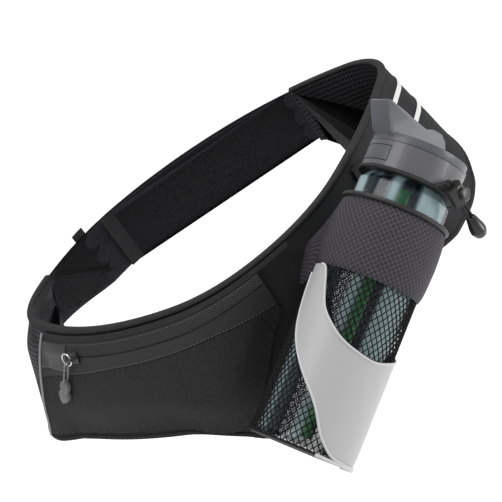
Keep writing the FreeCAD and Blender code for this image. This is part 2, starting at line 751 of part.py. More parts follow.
def holster():
    """Netting sleeve with its two sides, the padded collar, the coated boot and its base."""
    top = size("collar_high")
    net = arc_shell("holster_net", BOTTLE, NET_IN, NET_OUT, "0", "collar_high",
                    SLEEVE_START, SLEEVE_SWEEP)
    keep(net, "holster_net")
    for label, (angle, one, two) in (("holster_side_upper", UPPER_LEG),
                                     ("holster_side_lower", LOWER_LEG)):
        keep(leg(label, angle, 0, top, one, two, 0.05, 0.95), label)
    low = size("collar_low")
    thick = size("collar_thick")
    band = arc_shell("collar_band", BOTTLE, NET_OUT + " + 0.05",
                     NET_OUT + " + 0.05 + collar_thick", "collar_low",
                     "collar_high - collar_low", SLEEVE_START, SLEEVE_SWEEP)
    wings = [leg("collar_wing", angle, low, top, one, two, 1.2, 1.2 + thick)
             for angle, one, two in (UPPER_LEG, LOWER_LEG)]
    keep(fuse("holster_collar", band, *wings), "holster_collar")
    rim = primitive("Torus", "collar_piping",
                    shift(BOTTLE, z=top + size("collar_piping") + 0.05, turn_z=SLEEVE_START),
                    Radius1=NET_OUT + " + 1.6", Radius2="collar_piping")
    rim.Angle3 = SLEEVE_SWEEP
    keep(rim, "collar_piping")


def boot():
    """Coated cloth boot over the lower net, cut away in a curve, its piping and its base."""
    start, seam_foot, end = SLEEVE_START + 0.5, -14, 88
    hem = size("collar_low") - 0.4
    seam = table([(start, 116), (-112, 100), (-95, 73), (-69, 51), (-40, 30), (-20, 10),
                  (0, 1), (20, 0), (end, 0)])
    window = table([(start, hem), (-93, hem), (-67, 92), (-30, 75), (0, 71.4), (30, 76),
                    (end, 86)])
    inner = evaluate(NET_OUT) + 0.05
    strip("boot", start, end, seam, window, inner, inner + size("boot_thick"), 42, 6, around)
    base = primitive("Cylinder", "holster_base",
                     shift(BOTTLE, z=-size("base_thick") - 0.4),
                     Radius=NET_OUT, Height="base_thick")
    keep(base, "holster_base")
    rim = primitive("Torus", "boot_piping",
                    shift(BOTTLE, z=-size("boot_piping") - 0.05, turn_z=seam_foot),
                    Radius1=NET_OUT + " + 1.5", Radius2="boot_piping")
    rim.Angle3 = end - seam_foot
    keep(rim, "boot_piping")


# ---------------------------------------------------------------- draw cord and its lock

CORD_RING = size("bottle_radius") + 0.4 + size("cord_radius") + 0.35
CORD_LEVEL = size("bottle_height") + 1.2
LOCK_ANGLE = 3.0
LOCK_REACH = 44.6
LOCK_TOP = BOTTLE.multVec(FreeCAD.Vector(LOCK_REACH * math.cos(math.radians(LOCK_ANGLE)),
                                         LOCK_REACH * math.sin(math.radians(LOCK_ANGLE)),
                                         CORD_LEVEL + 4))
DOWN = FreeCAD.Rotation(FreeCAD.Vector(1, 0, 0), 180)
LOCK = FreeCAD.Placement(LOCK_TOP, DOWN)
PLUNGE_AXIS = FreeCAD.Vector(0.55, -0.83, 0).normalize()
STRAND_WAY = FreeCAD.Vector(0.83, 0.55, 0).normalize()
STRAND_SHIFT = size("cord_radius") + 0.35
FOOT_GAP = 0.5
UPWARD = FreeCAD.Vector(0, 0, 1)


def run_between(name, one, two):
    """A straight length of cord between two points."""
    run = primitive("Cylinder", name, FreeCAD.Placement(one, FreeCAD.Rotation(UPWARD, two - one)),
                    Radius="cord_radius")
    run.Height = (two - one).Length
    return run


def draw_cord():
    """Elastic cord round the bottle's neck, its two strands drawn down through the lock, and
    the loop of tape that keeps it on the panel."""
    lead, knee = 10.0, 4.0
    ring = primitive("Torus", "cord_ring", shift(BOTTLE, z=CORD_LEVEL), Radius1=str(CORD_RING),
                     Radius2="cord_radius")
    parts = [ring]
    leave = around(LOCK_ANGLE - lead, CORD_LEVEL, CORD_RING)
    for way in (-1, 1):
        top = LOCK_TOP + STRAND_WAY * (way * STRAND_SHIFT) + UPWARD * knee
        foot = top - UPWARD * (knee + size("lock_height"))
        parts += [run_between("cord_lead", leave, top), run_between("cord_run", top, foot),
                  primitive("Sphere", "cord_knee", FreeCAD.Placement(top, DOWN),
                            Radius="cord_radius")]
    keep(fuse("draw_cord", *parts), "draw_cord")
    strip("cord_keeper", 126, 134, 6, 18, PAD + 0.1, PAD + 1.3, 2)


def cord_lock():
    """Barrel lock with a sprung plunger, both drilled across for the two cord strands. Its
    bore hangs straight down, and the plunger works crosswise."""
    tall, radius = size("lock_height"), size("lock_radius")
    drum = primitive("Cylinder", "lock_drum", LOCK, Radius="lock_radius", Height="lock_height")
    across = FreeCAD.Rotation(UPWARD, PLUNGE_AXIS)
    middle = LOCK.multVec(FreeCAD.Vector(0, 0, tall / 2))
    seat = FreeCAD.Placement(middle - PLUNGE_AXIS * 4.5, across)
    well = primitive("Cylinder", "lock_well", seat, Radius="lock_button_radius + 0.1",
                     Height="lock_radius + 6")
    slots = []
    for way in (-1, 1):
        point = LOCK.multVec(ORIGIN) + STRAND_WAY * (way * STRAND_SHIFT)
        slots.append(primitive("Cylinder", "lock_slot", FreeCAD.Placement(point, DOWN),
                               Radius="lock_bore", Height="lock_height"))
    keep(cut("cord_lock", drum, fuse("lock_space", well, *slots)), "cord_lock")
    face = FreeCAD.Placement(middle + PLUNGE_AXIS * (radius - 3.2), across)
    plunger = primitive("Cylinder", "lock_button", face, Radius="lock_button_radius",
                        Height="lock_button_height")
    keep(plunger, "lock_button")
    coil = arc_shell("lock_spring", FreeCAD.Placement(middle - PLUNGE_AXIS * 4.4, across),
                     "spring_radius - 0.8", "spring_radius", "0", "3", 0, 360)
    keep(coil, "lock_spring")


def strands():
    """The two ends of the cord below the lock, and the moulded drop that joins them."""
    foot = LOCK_TOP - UPWARD * (size("lock_height") + FOOT_GAP)
    fall = 13.0
    for label, way in (("cord_end_left", -1), ("cord_end_right", 1)):
        one = foot + STRAND_WAY * (way * STRAND_SHIFT)
        two = foot + STRAND_WAY * (way * (STRAND_SHIFT - 0.2)) - FreeCAD.Vector(0, 0, fall)
        tube_between(label, one, two, "cord_radius")
    drop_top = foot - FreeCAD.Vector(0, 0, fall + 0.02)
    drop = turned_body("cord_drop", [("0", "0"), ("3.4", "0"), ("drop_radius - 0.4", "9"),
                                     ("drop_radius", "13"), ("drop_radius - 2", "17.5"),
                                     ("0", "drop_height")],
                       FreeCAD.Placement(drop_top, DOWN))
    keep(drop, "cord_drop")


def finish():
    """Recompute, check every object and write one file for each sub-part."""
    doc.recompute()
    for item in doc.Objects:
        if "Invalid" in item.State or "Error" in item.State:
            raise RuntimeError(f"{item.Label} did not build")
    os.makedirs("parts", exist_ok=True)
    for item in EXPORTED:
        shape = item.Shape
        if shape.isNull() or not shape.isValid() or shape.Volume <= 0:
            raise RuntimeError(f"{item.Label} is not a valid solid")
        shape.exportStep(f"parts/{item.Label}.step")
        print(f"{item.Label:24s} {shape.Volume:12.1f} mm3  {len(shape.Solids)} solid(s)")


back_panels()
bindings()
belt()
reflective_strips()
pocket()
zip_slider()
slider_loop()
zip_pull()
bottle()
cap()
cap_button()
lid()
drinking_parts()
holster()
boot()
draw_cord()
cord_lock()
strands()
finish()
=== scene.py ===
import math

import bpy
from mathutils import Matrix, Vector, noise


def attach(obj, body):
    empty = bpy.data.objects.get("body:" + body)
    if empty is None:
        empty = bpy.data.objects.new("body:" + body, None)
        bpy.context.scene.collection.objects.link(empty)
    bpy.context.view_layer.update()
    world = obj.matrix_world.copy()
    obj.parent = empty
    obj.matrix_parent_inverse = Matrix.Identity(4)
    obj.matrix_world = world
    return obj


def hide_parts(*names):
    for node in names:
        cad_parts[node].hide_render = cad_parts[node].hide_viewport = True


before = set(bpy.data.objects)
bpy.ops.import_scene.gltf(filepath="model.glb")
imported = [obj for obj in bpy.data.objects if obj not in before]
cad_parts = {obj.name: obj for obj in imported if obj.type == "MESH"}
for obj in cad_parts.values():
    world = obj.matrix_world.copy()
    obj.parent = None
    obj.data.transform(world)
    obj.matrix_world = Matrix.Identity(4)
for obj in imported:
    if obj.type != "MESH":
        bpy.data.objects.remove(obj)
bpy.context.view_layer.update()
MM = 0.001

# ---------------------------------------------------------------- studio
# White floor well below the hanging pack, broad soft lamps above and to both sides, and the
# camera tipped over on its side, so that the belt climbs across the picture.

LOOK_AT = Vector((4.2, -44, -5)) * MM
CAMERA_FAR = 1.2
TILT_UP = math.radians(25)
ROLL = math.radians(35.5)
SENSOR = 36
LENS = 113.2
camera_back = Vector((0, -math.cos(TILT_UP), math.sin(TILT_UP)))
level_up = Vector((0, math.sin(TILT_UP), math.cos(TILT_UP)))
camera_right = Vector((1, 0, 0)) * math.cos(ROLL) - level_up * math.sin(ROLL)
camera_up = Vector((1, 0, 0)) * math.sin(ROLL) + level_up * math.cos(ROLL)
lens = bpy.data.cameras.new("camera")
lens.lens = LENS
lens.sensor_width = SENSOR
camera = bpy.data.objects.new("camera", lens)
bpy.context.scene.collection.objects.link(camera)
turn = Matrix((camera_right, camera_up, camera_back)).transposed().to_4x4()
camera.matrix_world = Matrix.Translation(LOOK_AT + camera_back * CAMERA_FAR) @ turn
bpy.context.scene.camera = camera


def soft_lamp(name, place, width, watts):
    """A square lamp that faces the middle of the pack."""
    lamp = bpy.data.lights.new(name, "AREA")
    lamp.shape = "SQUARE"
    lamp.size = width
    lamp.energy = watts
    lamp_object = bpy.data.objects.new(name, lamp)
    bpy.context.scene.collection.objects.link(lamp_object)
    facing = (Vector(place) - LOOK_AT).to_track_quat("Z", "Y").to_matrix().to_4x4()
    lamp_object.matrix_world = Matrix.Translation(Vector(place)) @ facing


soft_lamp("lamp_left", LOOK_AT + camera_back * 1.0 - camera_right * 1.1 + camera_up * 0.7, 0.9, 11)
soft_lamp("lamp_right", LOOK_AT + camera_back * 0.5 + camera_right * 1.3 + camera_up * 0.2, 0.5, 6)
soft_lamp("lamp_top", LOOK_AT + camera_up * 1.3 + camera_back * 0.3, 0.8, 9)
world = bpy.data.worlds.new("studio")
bpy.context.scene.world = world
world.use_nodes = True
world.node_tree.nodes["Background"].inputs["Color"].default_value = (1, 1, 1, 1)
world.node_tree.nodes["Background"].inputs["Strength"].default_value = 0.62
bpy.context.scene.view_settings.view_transform = "Standard"


class Flow:
    """A value running between shader nodes. Sums written on it add Math nodes."""

    def __init__(self, look, socket):
        self.look = look
        self.socket = socket

    def sum(self, operation, *others, clamp=False):
        return self.look.add("ShaderNodeMath", [self, *others], operation=operation,
                             use_clamp=clamp)

    def __add__(self, other):
        return self.sum("ADD", other)

    def __radd__(self, other):
        return self.sum("ADD", other)

    def __sub__(self, other):
        return self.sum("SUBTRACT", other)

    def __rsub__(self, other):
        return self.look.add("ShaderNodeMath", [other, self], operation="SUBTRACT")

    def __mul__(self, other):
        return self.sum("MULTIPLY", other)

    def __rmul__(self, other):
        return self.sum("MULTIPLY", other)

    def step(self, low, high):
        """0 below low, 1 above high, smooth between."""
        return self.look.add("ShaderNodeMapRange", {"Value": self, "From Min": low,
                                                    "From Max": high},
                             interpolation_type="SMOOTHSTEP")

    def wave(self, length):
        """A sine of this wavelength, from -1 to 1."""
        return (self * (math.tau / length)).sum("SINE")


class Look:
    """One material: its shader, and the nodes that feed it."""

    def __init__(self, name, color, roughness, **fixed):
        self.material = bpy.data.materials.new(name)
        self.material.use_nodes = True
        self.tree = self.material.node_tree
        self.shader = self.tree.nodes["Principled BSDF"]
        self.put("Base Color", color)
        self.put("Roughness", roughness)
        self.put("Specular IOR Level", 0.15 if roughness >= 0.6 else 0.5)
        for socket, value in fixed.items():
            self.put(socket.replace("_", " ").title().replace("Ior", "IOR"), value)

    def add(self, kind, values=(), out=0, stops=(), **settings):
        """Any other node: its settings first, then the values or links of its sockets."""
        node = self.tree.nodes.new(kind)
        for setting, value in settings.items():
            setattr(node, setting, value)
        for index, (place, shade) in enumerate(stops):
            ramp = node.color_ramp.elements
            stop = ramp[index] if index < len(ramp) else ramp.new(place)
            stop.position = place
            stop.color = (*shade, 1)
        pairs = values.items() if isinstance(values, dict) else enumerate(values)
        for key, value in pairs:
            self.feed(node.inputs[key], value)
        return Flow(self, node.outputs[out])

    def feed(self, socket, value):
        if isinstance(value, Flow):
            self.tree.links.new(value.socket, socket)
        elif isinstance(value, (tuple, list)):
            socket.default_value = (*value, 1) if len(value) == 3 and socket.type == "RGBA" \
                else value
        else:
            socket.default_value = value

    def put(self, socket, value):
        self.feed(self.shader.inputs[socket], value)

    def cloth_place(self):
        """Metres along and across the cloth."""
        place = self.add("ShaderNodeUVMap", uv_map="cloth")
        return (self.add("ShaderNodeSeparateXYZ", [place], out=0),
                self.add("ShaderNodeSeparateXYZ", [place], out=1))

    def cloud(self, size, detail=3.0, place=None):
        """Soft noise from 0 to 1, with clouds of this size in metres."""
        if place is None:
            place = self.add("ShaderNodeTexCoord", out=3)
        return self.add("ShaderNodeTexNoise", {"Vector": place, "Scale": 1 / size,
                                               "Detail": detail})

    def mix(self, share, one, two):
        return self.add("ShaderNodeMix", {0: share, 6: one, 7: two}, out=2, data_type="RGBA")

    def bump(self, height, depth, strength=1.0):
        self.put("Normal", self.add("ShaderNodeBump", {"Height": height, "Distance": depth,
                                                       "Strength": strength}))


floor_look = Look("floor", (0.95, 0.95, 0.95), 0.9, emission_color=(1, 1, 1),
                  emission_strength=0.45)
floor_grain = floor_look.cloud(0.4)
floor_look.put("Base Color", floor_look.mix(floor_grain, (0.93, 0.93, 0.93), (0.97, 0.97, 0.97)))
bpy.ops.object.select_all(action="DESELECT")
bpy.ops.mesh.primitive_plane_add(size=30, location=(0, 0, -0.9))
floor = bpy.context.object
floor.name = "floor"
bpy.ops.object.transform_apply(location=True)
floor.data.materials.append(floor_look.material)

# ---------------------------------------------------------------- elastic belt
# Two lengths of thick spacer mesh, knitted with three soft ribs along them, sewn into the
# padded wings at one end and joined by the closing panel at the other.

TURNS = (("front_right", 44, 145), ("right_flank", 15, None), ("right_end", 83, 50),
         ("back", 50, None), ("back_left", 40, 165), ("left_end", 56, 60),
         ("left_flank", 40, 240), ("front_left", 32, 100))
FRONT = (-14, -132)
BELT_TOP = 25
BELT_LOW = -25
BELT_THICK = 4.5
PAD = 5


def arc_step(start, end):
    return (math.sin(end) - math.sin(start), math.cos(start) - math.cos(end))


def ring_arcs():
    """The belt's plan: (start angle, end angle, radius, centre) of each of its arcs, the
    flank's and the back's radii solved so that it closes."""
    angles = [0.0]
    for _, degrees, _ in TURNS:
        angles.append(angles[-1] + math.radians(degrees))
    steps = [arc_step(*pair) for pair in zip(angles, angles[1:])]
    rest = [-sum(radius * step[axis] for (_, _, radius), step in zip(TURNS, steps) if radius)
            for axis in (0, 1)]
    one, two = (step for (_, _, radius), step in zip(TURNS, steps) if radius is None)
    area = one[0] * two[1] - one[1] * two[0]
    solved = [(rest[0] * two[1] - rest[1] * two[0]) / area,
              (one[0] * rest[1] - one[1] * rest[0]) / area]
    arcs, (x, y) = [], FRONT
    for (_, _, radius), start, end, step in zip(TURNS, angles, angles[1:], steps):
        radius = radius or solved.pop(0)
        arcs.append((start, end, radius, x - radius * math.sin(start),
                     y + radius * math.cos(start)))
        x, y = x + radius * step[0], y + radius * step[1]
    return arcs


ARCS = ring_arcs()
RING = sum((end - start) * radius for start, end, radius, _, _ in ARCS)


def blend(value, low, high):
    """Smooth step from 0 at low to 1 at high."""
    share = min(1.0, max(0.0, (value - low) / (high - low)))
    return share * share * (3 - 2 * share)


def curve_through(*stops):
    """A smooth function through (distance, value) stops, level where it turns back."""
    slopes = [(two[1] - one[1]) / (two[0] - one[0]) for one, two in zip(stops, stops[1:])]
    ends = [slopes[0]]
    for before, after in zip(slopes, slopes[1:]):
        ends.append(0.0 if before * after <= 0 else 2 * before * after / (before + after))
    ends.append(slopes[-1])

    def value(distance):
        distance = min(stops[-1][0], max(stops[0][0], distance))
        index = 0
        while index < len(stops) - 2 and distance > stops[index + 1][0]:
            index += 1
        (low, at_low), (high, at_high) = stops[index], stops[index + 1]
        width = high - low
        share = (distance - low) / width
        rise = share * share * (3 - 2 * share)
        return (at_low + (at_high - at_low) * rise
                + share * (1 - share) ** 2 * ends[index] * width
                - share * share * (1 - share) * ends[index + 1] * width)
    return value


lean = curve_through((-350, 0), (-300, 0.36), (-250, 0.4), (-215, 0.38), (-180, 0.33),
                     (-100, 0.25), (-50, 0.17), (10, 0), (130, 0), (170, 0.2), (250, 0.2),
                     (330, 0))
hip = curve_through((-340, 0), (-290, 8), (-240, 8), (-200, 0))


def wall(distance, height, standoff):
    """A place on the ring's wall: millimetres along it, up it, and out from the wearer."""
    left = distance % RING
    for start, end, radius, x, y in ARCS:
        if left <= (end - start) * radius:
            break
        left -= (end - start) * radius
    angle = start + left / radius
    drop = BELT_TOP - height
    reach = radius + standoff - PAD + lean(distance) * drop + hip(distance) * blend(drop, 0, 24)
    return Vector((x + math.sin(angle) * reach, y - math.cos(angle) * reach, height)) * MM


def slanted(distance, height):
    """Distance moved so that the seam between wing and pocket slants down and back."""
    share = blend(distance, -300, -215) * (1 - blend(distance, -190, -110))
    return distance - 0.33 * share * (BELT_TOP - height)


def laid_grid(name, columns, rows, place, closed=False):
    """Cloth laid out as a grid and then put where place says, which gives a point and its
    metres along and across the cloth. A closed one meets itself and has its ends filled."""
    bpy.ops.object.select_all(action="DESELECT")
    bpy.ops.mesh.primitive_grid_add(x_subdivisions=columns, y_subdivisions=rows, size=1,
                                    location=(0.5, 0.5, 0))
    bpy.ops.object.transform_apply(location=True)
    piece = bpy.context.object
    piece.name = name
    piece.data.name = name
    mesh = piece.data
    placed = [place(vertex.co.x, vertex.co.y) for vertex in mesh.vertices]
    cloth = mesh.uv_layers[0]
    cloth.name = "cloth"
    for loop in mesh.loops:
        cloth.data[loop.index].uv = [value * MM for value in placed[loop.vertex_index][1]]
    for vertex, (point, _) in zip(mesh.vertices, placed):
        vertex.co = point
    bpy.ops.object.mode_set(mode="EDIT")
    bpy.ops.mesh.select_all(action="SELECT")
    if closed:
        bpy.ops.mesh.remove_doubles(threshold=0.00001)
        bpy.ops.mesh.fill_holes(sides=0)
        bpy.ops.mesh.select_all(action="SELECT")
    bpy.ops.mesh.normals_make_consistent(inside=False)
    bpy.ops.object.mode_set(mode="OBJECT")
    bpy.ops.object.shade_smooth_by_angle(angle=math.radians(50))
    return piece


def slab(name, start, end, low, high, inner, outer, columns, rows, round_edge, swell,
         move=slanted):
    """A padded panel of the wall: a closed form with rounded edges. swell gives how far its
    outside and its inside stand proud at a place."""
    faces = 0.46

    def place(u, v):
        distance = start + (end - start) * u
        bottom, top = (bound(distance) if callable(bound) else bound for bound in (low, high))
        if v < faces or 0.5 <= v < 0.5 + faces:
            share = v / faces if v < faces else 1 - (v - 0.5) / faces
            height = bottom + (top - bottom) * share
            near = min(height - bottom, top - height, round_edge)
            edge = round_edge - math.sqrt(max(0, round_edge ** 2 - (round_edge - near) ** 2))
            side = 1 if v < faces else -1
            proud = swell(distance, height, side) - edge
            standoff = outer + proud if side > 0 else inner - proud
        else:
            share = (v - faces if v < 0.5 else v - 0.5 - faces) / (0.5 - faces)
            share = share if v < 0.5 else 1 - share
            height = top if v < 0.5 else bottom
            standoff = outer - round_edge + (inner - outer + 2 * round_edge) * share
        moved = move(distance, height)
        return wall(moved, height, standoff), (moved, height)
    return laid_grid(name, columns, rows, place, closed=True)


def straight(distance, _):
    return distance


def knitted_ribs(distance, height, side):
    """Three lengthwise ribs with narrow channels between them, softly uneven."""
    across = (height - BELT_LOW) / (BELT_TOP - BELT_LOW) * 3
    crown = abs(math.sin(math.pi * across)) ** 0.5
    uneven = noise.noise(Vector((distance / 30, height / 12, side)))
    return 1.7 * crown - 1.5 + 0.35 * uneven


belt_look = Look("belt_mesh", (0.02, 0.019, 0.021), 0.85)
along, across = belt_look.cloth_place()
knit = ((along + across * 0.6).wave(0.0026) * (along - across * 0.6).wave(0.0026))
holes = knit.step(0.1, 0.6)
heather = belt_look.cloud(0.004)
yarn = belt_look.mix(heather, (0.016, 0.015, 0.017), (0.034, 0.031, 0.036))
belt_look.put("Base Color", belt_look.mix(holes, yarn, (0.004, 0.004, 0.0045)))
belt_look.bump(heather * 0.3 - holes * 0.8, 0.0007)


def sewn(piece, look, slot, *nodes, body="pack"):
    """Gives a finished piece its cloth and its place among the bodies, and hides the CAD nodes it
    stands in for.
    """
    piece.data.materials.clear()
    piece.data.materials.append(look.material)
    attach(piece, body)
    if nodes:
        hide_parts(*nodes)
    return piece


belt_right = slab("belt_right_mesh", 372, RING - 371, BELT_LOW, BELT_TOP, 0, BELT_THICK, 120, 100,
                  1.6, knitted_ribs, straight)
belt_left = slab("belt_left_mesh", -371, -300, BELT_LOW, BELT_TOP, 0, BELT_THICK, 46, 100, 1.6,
                 knitted_ribs, straight)
for piece, node in ((belt_right, "belt_right"), (belt_left, "belt_left")):
    sewn(piece, belt_look, "belt_mesh", node)

# ---------------------------------------------------------------- belt joint
# A plain woven end panel laps over the joint inside the ring, held by a strip of hook tape
# behind it. A short folded tab stands above the edge to pull it open by.

plain_look = Look("woven_panel", (0.03, 0.03, 0.032), 0.8)
along, across = plain_look.cloth_place()
weave = along.wave(0.0011) * across.wave(0.0011)
plain_look.put("Base Color", plain_look.mix(plain_look.cloud(0.01), (0.018, 0.018, 0.019),
                                            (0.03, 0.03, 0.032)))
plain_look.bump(weave, 0.00015)


def no_swell(distance, height, side):
    return 0.15 * noise.noise(Vector((distance / 9, height / 9, side)))


closing = slab("closing_panel", -397, -371.5, BELT_LOW, BELT_TOP, -2.6, -1.1, 24, 90, 0.6,
               lambda distance, height, side: 0.12 * math.cos((distance + 384) * 1.1), straight)
sewn(closing, plain_look, "panel_cloth", "closure_panel", body="closure")
hook_look = Look("hook_tape", (0.02, 0.02, 0.02), 0.6)
along, across = hook_look.cloth_place()
hooks = along.wave(0.0014) * across.wave(0.0014)
hook_look.put("Base Color", hook_look.mix(hooks.step(0, 0.6), (0.006, 0.006, 0.006),
                                          (0.03, 0.03, 0.03)))
hook_look.bump(hooks, 0.0004)
hook_strip = slab("hook_strip", -394, -374, -20, 20, -1.1, -0.3, 16, 60, 0.3, no_swell, straight)
sewn(hook_strip, hook_look, "zip_coil", "hook_tape", body="closure")
tab = slab("pull_open_tab", -355, -343, 25.2, 32, 0.8, 2.4, 12, 30, 0.7, no_swell, straight)
sewn(tab, plain_look, "binding", "belt_tab")

# ---------------------------------------------------------------- padded panel and wings
# Foam-backed back panel and left wing, and the right wing with its mesh lining. They are one
# quilted body, cut lower under the bottle, and bound along the top and bottom edges.

panel_low = curve_through((-300, BELT_LOW), (-280, -40), (-255, -58), (-225, -66), (-150, -60),
                          (-96, -64), (-57, -80), (-40, -92), (0, -98), (100, -96), (150, -83),
                          (212, -88), (232, -86), (252, -74), (270, -60), (300, -46), (340, -34),
                          (372, BELT_LOW))


def foam(distance, height, side):
    """Foam that crowns between the bound edges and creases a little."""
    low = panel_low(distance)
    share = (height - low) / (BELT_TOP - low)
    crown = math.sin(math.pi * min(1, max(0, share))) ** 0.7
    crease = noise.noise(Vector((distance / 26, height / 18, side * 3)))
    return (0.9 if side < 0 else 0.0) * crown + 0.3 * crease * crown - 0.2


lining_look = Look("open_mesh", (0.02, 0.02, 0.022), 0.85)
along, across = lining_look.cloth_place()
lattice = (along + across * 0.7).wave(0.0058) * (along - across * 0.7).wave(0.0058)
eyelets = lattice.step(0.15, 0.5)
fuzz = lining_look.cloud(0.003)
lining_look.put("Base Color", lining_look.mix(
    eyelets, lining_look.mix(fuzz, (0.02, 0.02, 0.022), (0.042, 0.042, 0.046)),
    (0.003, 0.003, 0.003)))
lining_look.bump(fuzz * 0.3 - eyelets, 0.0009)
grey_look = Look("grey_mesh", (0.12, 0.12, 0.12), 0.8)
along, across = grey_look.cloth_place()
lattice = (along + across * 0.6).wave(0.004) * (along - across * 0.6).wave(0.004)
eyelets = lattice.step(0.05, 0.6)
fade = grey_look.cloud(0.03, 2.0).step(0.35, 0.7)
grey_yarn = grey_look.mix(fade, (0.03, 0.028, 0.031), (0.075, 0.07, 0.078))
grey_look.put("Base Color", grey_look.mix(eyelets, grey_yarn, (0.008, 0.008, 0.008)))
grey_look.bump(grey_look.cloud(0.003) * 0.4 - eyelets, 0.0007)
back_panel = slab("back_panel", -203, 150, panel_low, BELT_TOP, 0, PAD, 170, 100, 1.8, foam)
sewn(back_panel, plain_look, "panel_cloth", "back_pad", "pocket_lining")
left_wing = slab("left_wing_pad", -300, -203, panel_low, BELT_TOP, 0, PAD, 64, 100, 1.8, foam)
sewn(left_wing, grey_look, "wing_mesh", "left_wing")
right_wing = slab("right_wing_pad", 150, 372, panel_low, BELT_TOP, 2.8, PAD, 110, 90, 1.0, foam,
                  straight)
sewn(right_wing, plain_look, "panel_cloth", "right_wing")
wing_lining = slab("right_wing_mesh", 150, 372, panel_low, BELT_TOP, 0, 2.8, 110, 90, 1.0, foam,
                   straight)
sewn(wing_lining, lining_look, "belt_mesh", "right_wing_lining")

# ---------------------------------------------------------------- edge bindings
# Folded woven tape, turned over the panel's edges and sewn through with one row of stitches.

binding_look = Look("binding_tape", (0.022, 0.022, 0.023), 0.7)
along, across = binding_look.cloth_place()
ribbing = along.wave(0.0012)
binding_look.put("Base Color", binding_look.mix(binding_look.cloud(0.006), (0.016, 0.016, 0.017),
                                                (0.03, 0.03, 0.031)))
binding_look.bump(ribbing, 0.0001)


def folded_tape(name, start, end, low, high, proud, columns, move):
    """A tape turned over an edge, a round-backed closed form."""
    def place(u, v):
        distance = start + (end - start) * u
        bottom, top = (bound(distance) if callable(bound) else bound for bound in (low, high))
        angle = math.tau * v
        pucker = 0.12 * math.sin(distance * 2.1)
        height = (bottom + top) / 2 + (top - bottom + 1.4) / 2 * math.sin(angle)
        half = (PAD + 2 * proud) / 2
        standoff = PAD / 2 + (half + pucker) * math.copysign(abs(math.cos(angle)) ** 0.6,
                                                            math.cos(angle))
        moved = move(distance, height)
        return wall(moved, height, standoff), (moved, angle * 3)
    return laid_grid(name, columns, 20, place, closed=True)


top_tape = folded_tape("top_binding_tape", -300, 372, BELT_TOP - 0.4, BELT_TOP + 1.8, 0.8, 420,
                       straight)
sewn(top_tape, binding_look, "binding", "top_binding")
low_tape = folded_tape("bottom_binding_tape", -300, 372, lambda s: panel_low(s) - 1.8,
                       lambda s: panel_low(s) + 0.4, 0.8, 420, slanted)
sewn(low_tape, binding_look, "binding", "bottom_binding")

# ---------------------------------------------------------------- reflective ribbons
# Two woven silver ribbons sewn flat along the outside of the right wing.

silver_look = Look("reflective_ribbon", (0.62, 0.62, 0.6), 0.5, metallic=0.1)
along, across = silver_look.cloth_place()
beads = silver_look.cloud(0.0009, 1.0)
silver_look.put("Base Color", silver_look.mix(beads, (0.5, 0.5, 0.48), (0.76, 0.76, 0.74)))
silver_look.bump(beads + along.wave(0.002) * 0.4, 0.00012)
for name, node, (near, middle, far) in (("ribbon_upper", "reflective_strip_upper", (9, 9, 3)),
                                        ("ribbon_lower", "reflective_strip_lower",
                                         (-15, -15, -18))):
    line = curve_through((150, near), (234, middle), (330, far))
    ribbon = slab(name, 168, 325, lambda s, line=line: line(s) - 2.3,
                  lambda s, line=line: line(s) + 2.3, PAD + 0.1, PAD + 0.75, 90, 24, 0.3,
                  lambda *_: 0.05, straight)
    sewn(ribbon, silver_look, "reflective", node)

# ---------------------------------------------------------------- phone pocket
# Stretch cloth pocket on the left flank: a plain front that bellies under the zip and draws
# in to the bottom seam, a gusset at its left end, and a narrow yoke above the zip.

CLOTH = 1.4
ZIP = 12
COIL_HALF = 1.4
FLOOR = PAD + 0.3 + CLOTH
POCKET_START = -203
POCKET_END = 12
POCKET_DEPTH = 15
pocket_low = curve_through((-203, -60), (-150, -55), (-96, -59), (-70, -72), (-56, -76),
                           (-42, -69), (-23, -50), (-4, -28), (12, -15))
lower_seam = curve_through((-203, -8), (-160, -2), (-110, 1), (-45, 1), (-17, -3), (12, -9))


def zip_standoff(distance):
    return (16.5 - lean(distance) * (BELT_TOP - ZIP)) * (1 - 0.35 * blend(distance, -60,
                                                                          POCKET_END))


def relief(distance, height):
    """Standoff of the pocket's outside, from the top edge over the zip to the bottom seam."""
    at_zip = zip_standoff(distance)
    if height >= ZIP:
        return FLOOR + (at_zip - FLOOR) * blend(BELT_TOP - height, -4, BELT_TOP - ZIP)
    right = 1 - 0.5 * blend(distance, -80, POCKET_END)
    left = 0.55 + 0.45 * blend(distance, -240, -170)
    full = FLOOR + (POCKET_DEPTH - FLOOR) * right * left
    belly = at_zip + (full - at_zip) * blend(ZIP - height, 0, 22)
    bottom = pocket_low(distance)
    return FLOOR + (belly - FLOOR) * blend(height, bottom - 1, bottom + 34)


def band(name, start, end, low, high, lift, thick, columns, rows, fold=None):
    """A layer of the pocket's outside, a closed sheet of this thickness."""
    def place(u, v):
        distance = start + (end - start) * u
        bottom, top = (bound(distance) if callable(bound) else bound for bound in (low, high))
        height = bottom + (top - bottom) * v
        moved = slanted(distance, height)
        rise = fold(distance, height, bottom, top) if fold else 0
        return wall(moved, height, relief(moved, height) + lift + rise), (moved, height)
    piece = laid_grid(name, columns, rows, place)
    outward = sum((face.normal.dot(face.center)
                   for face in piece.data.polygons), 0.0)
    if outward < 0:
        piece.data.flip_normals()
    wall_modifier = piece.modifiers.new("thickness", "SOLIDIFY")
    wall_modifier.thickness = thick * MM
    wall_modifier.offset = -1
    wall_modifier.use_rim = True
    bpy.context.view_layer.objects.active = piece
    bpy.ops.object.modifier_apply(modifier="thickness")
    return piece


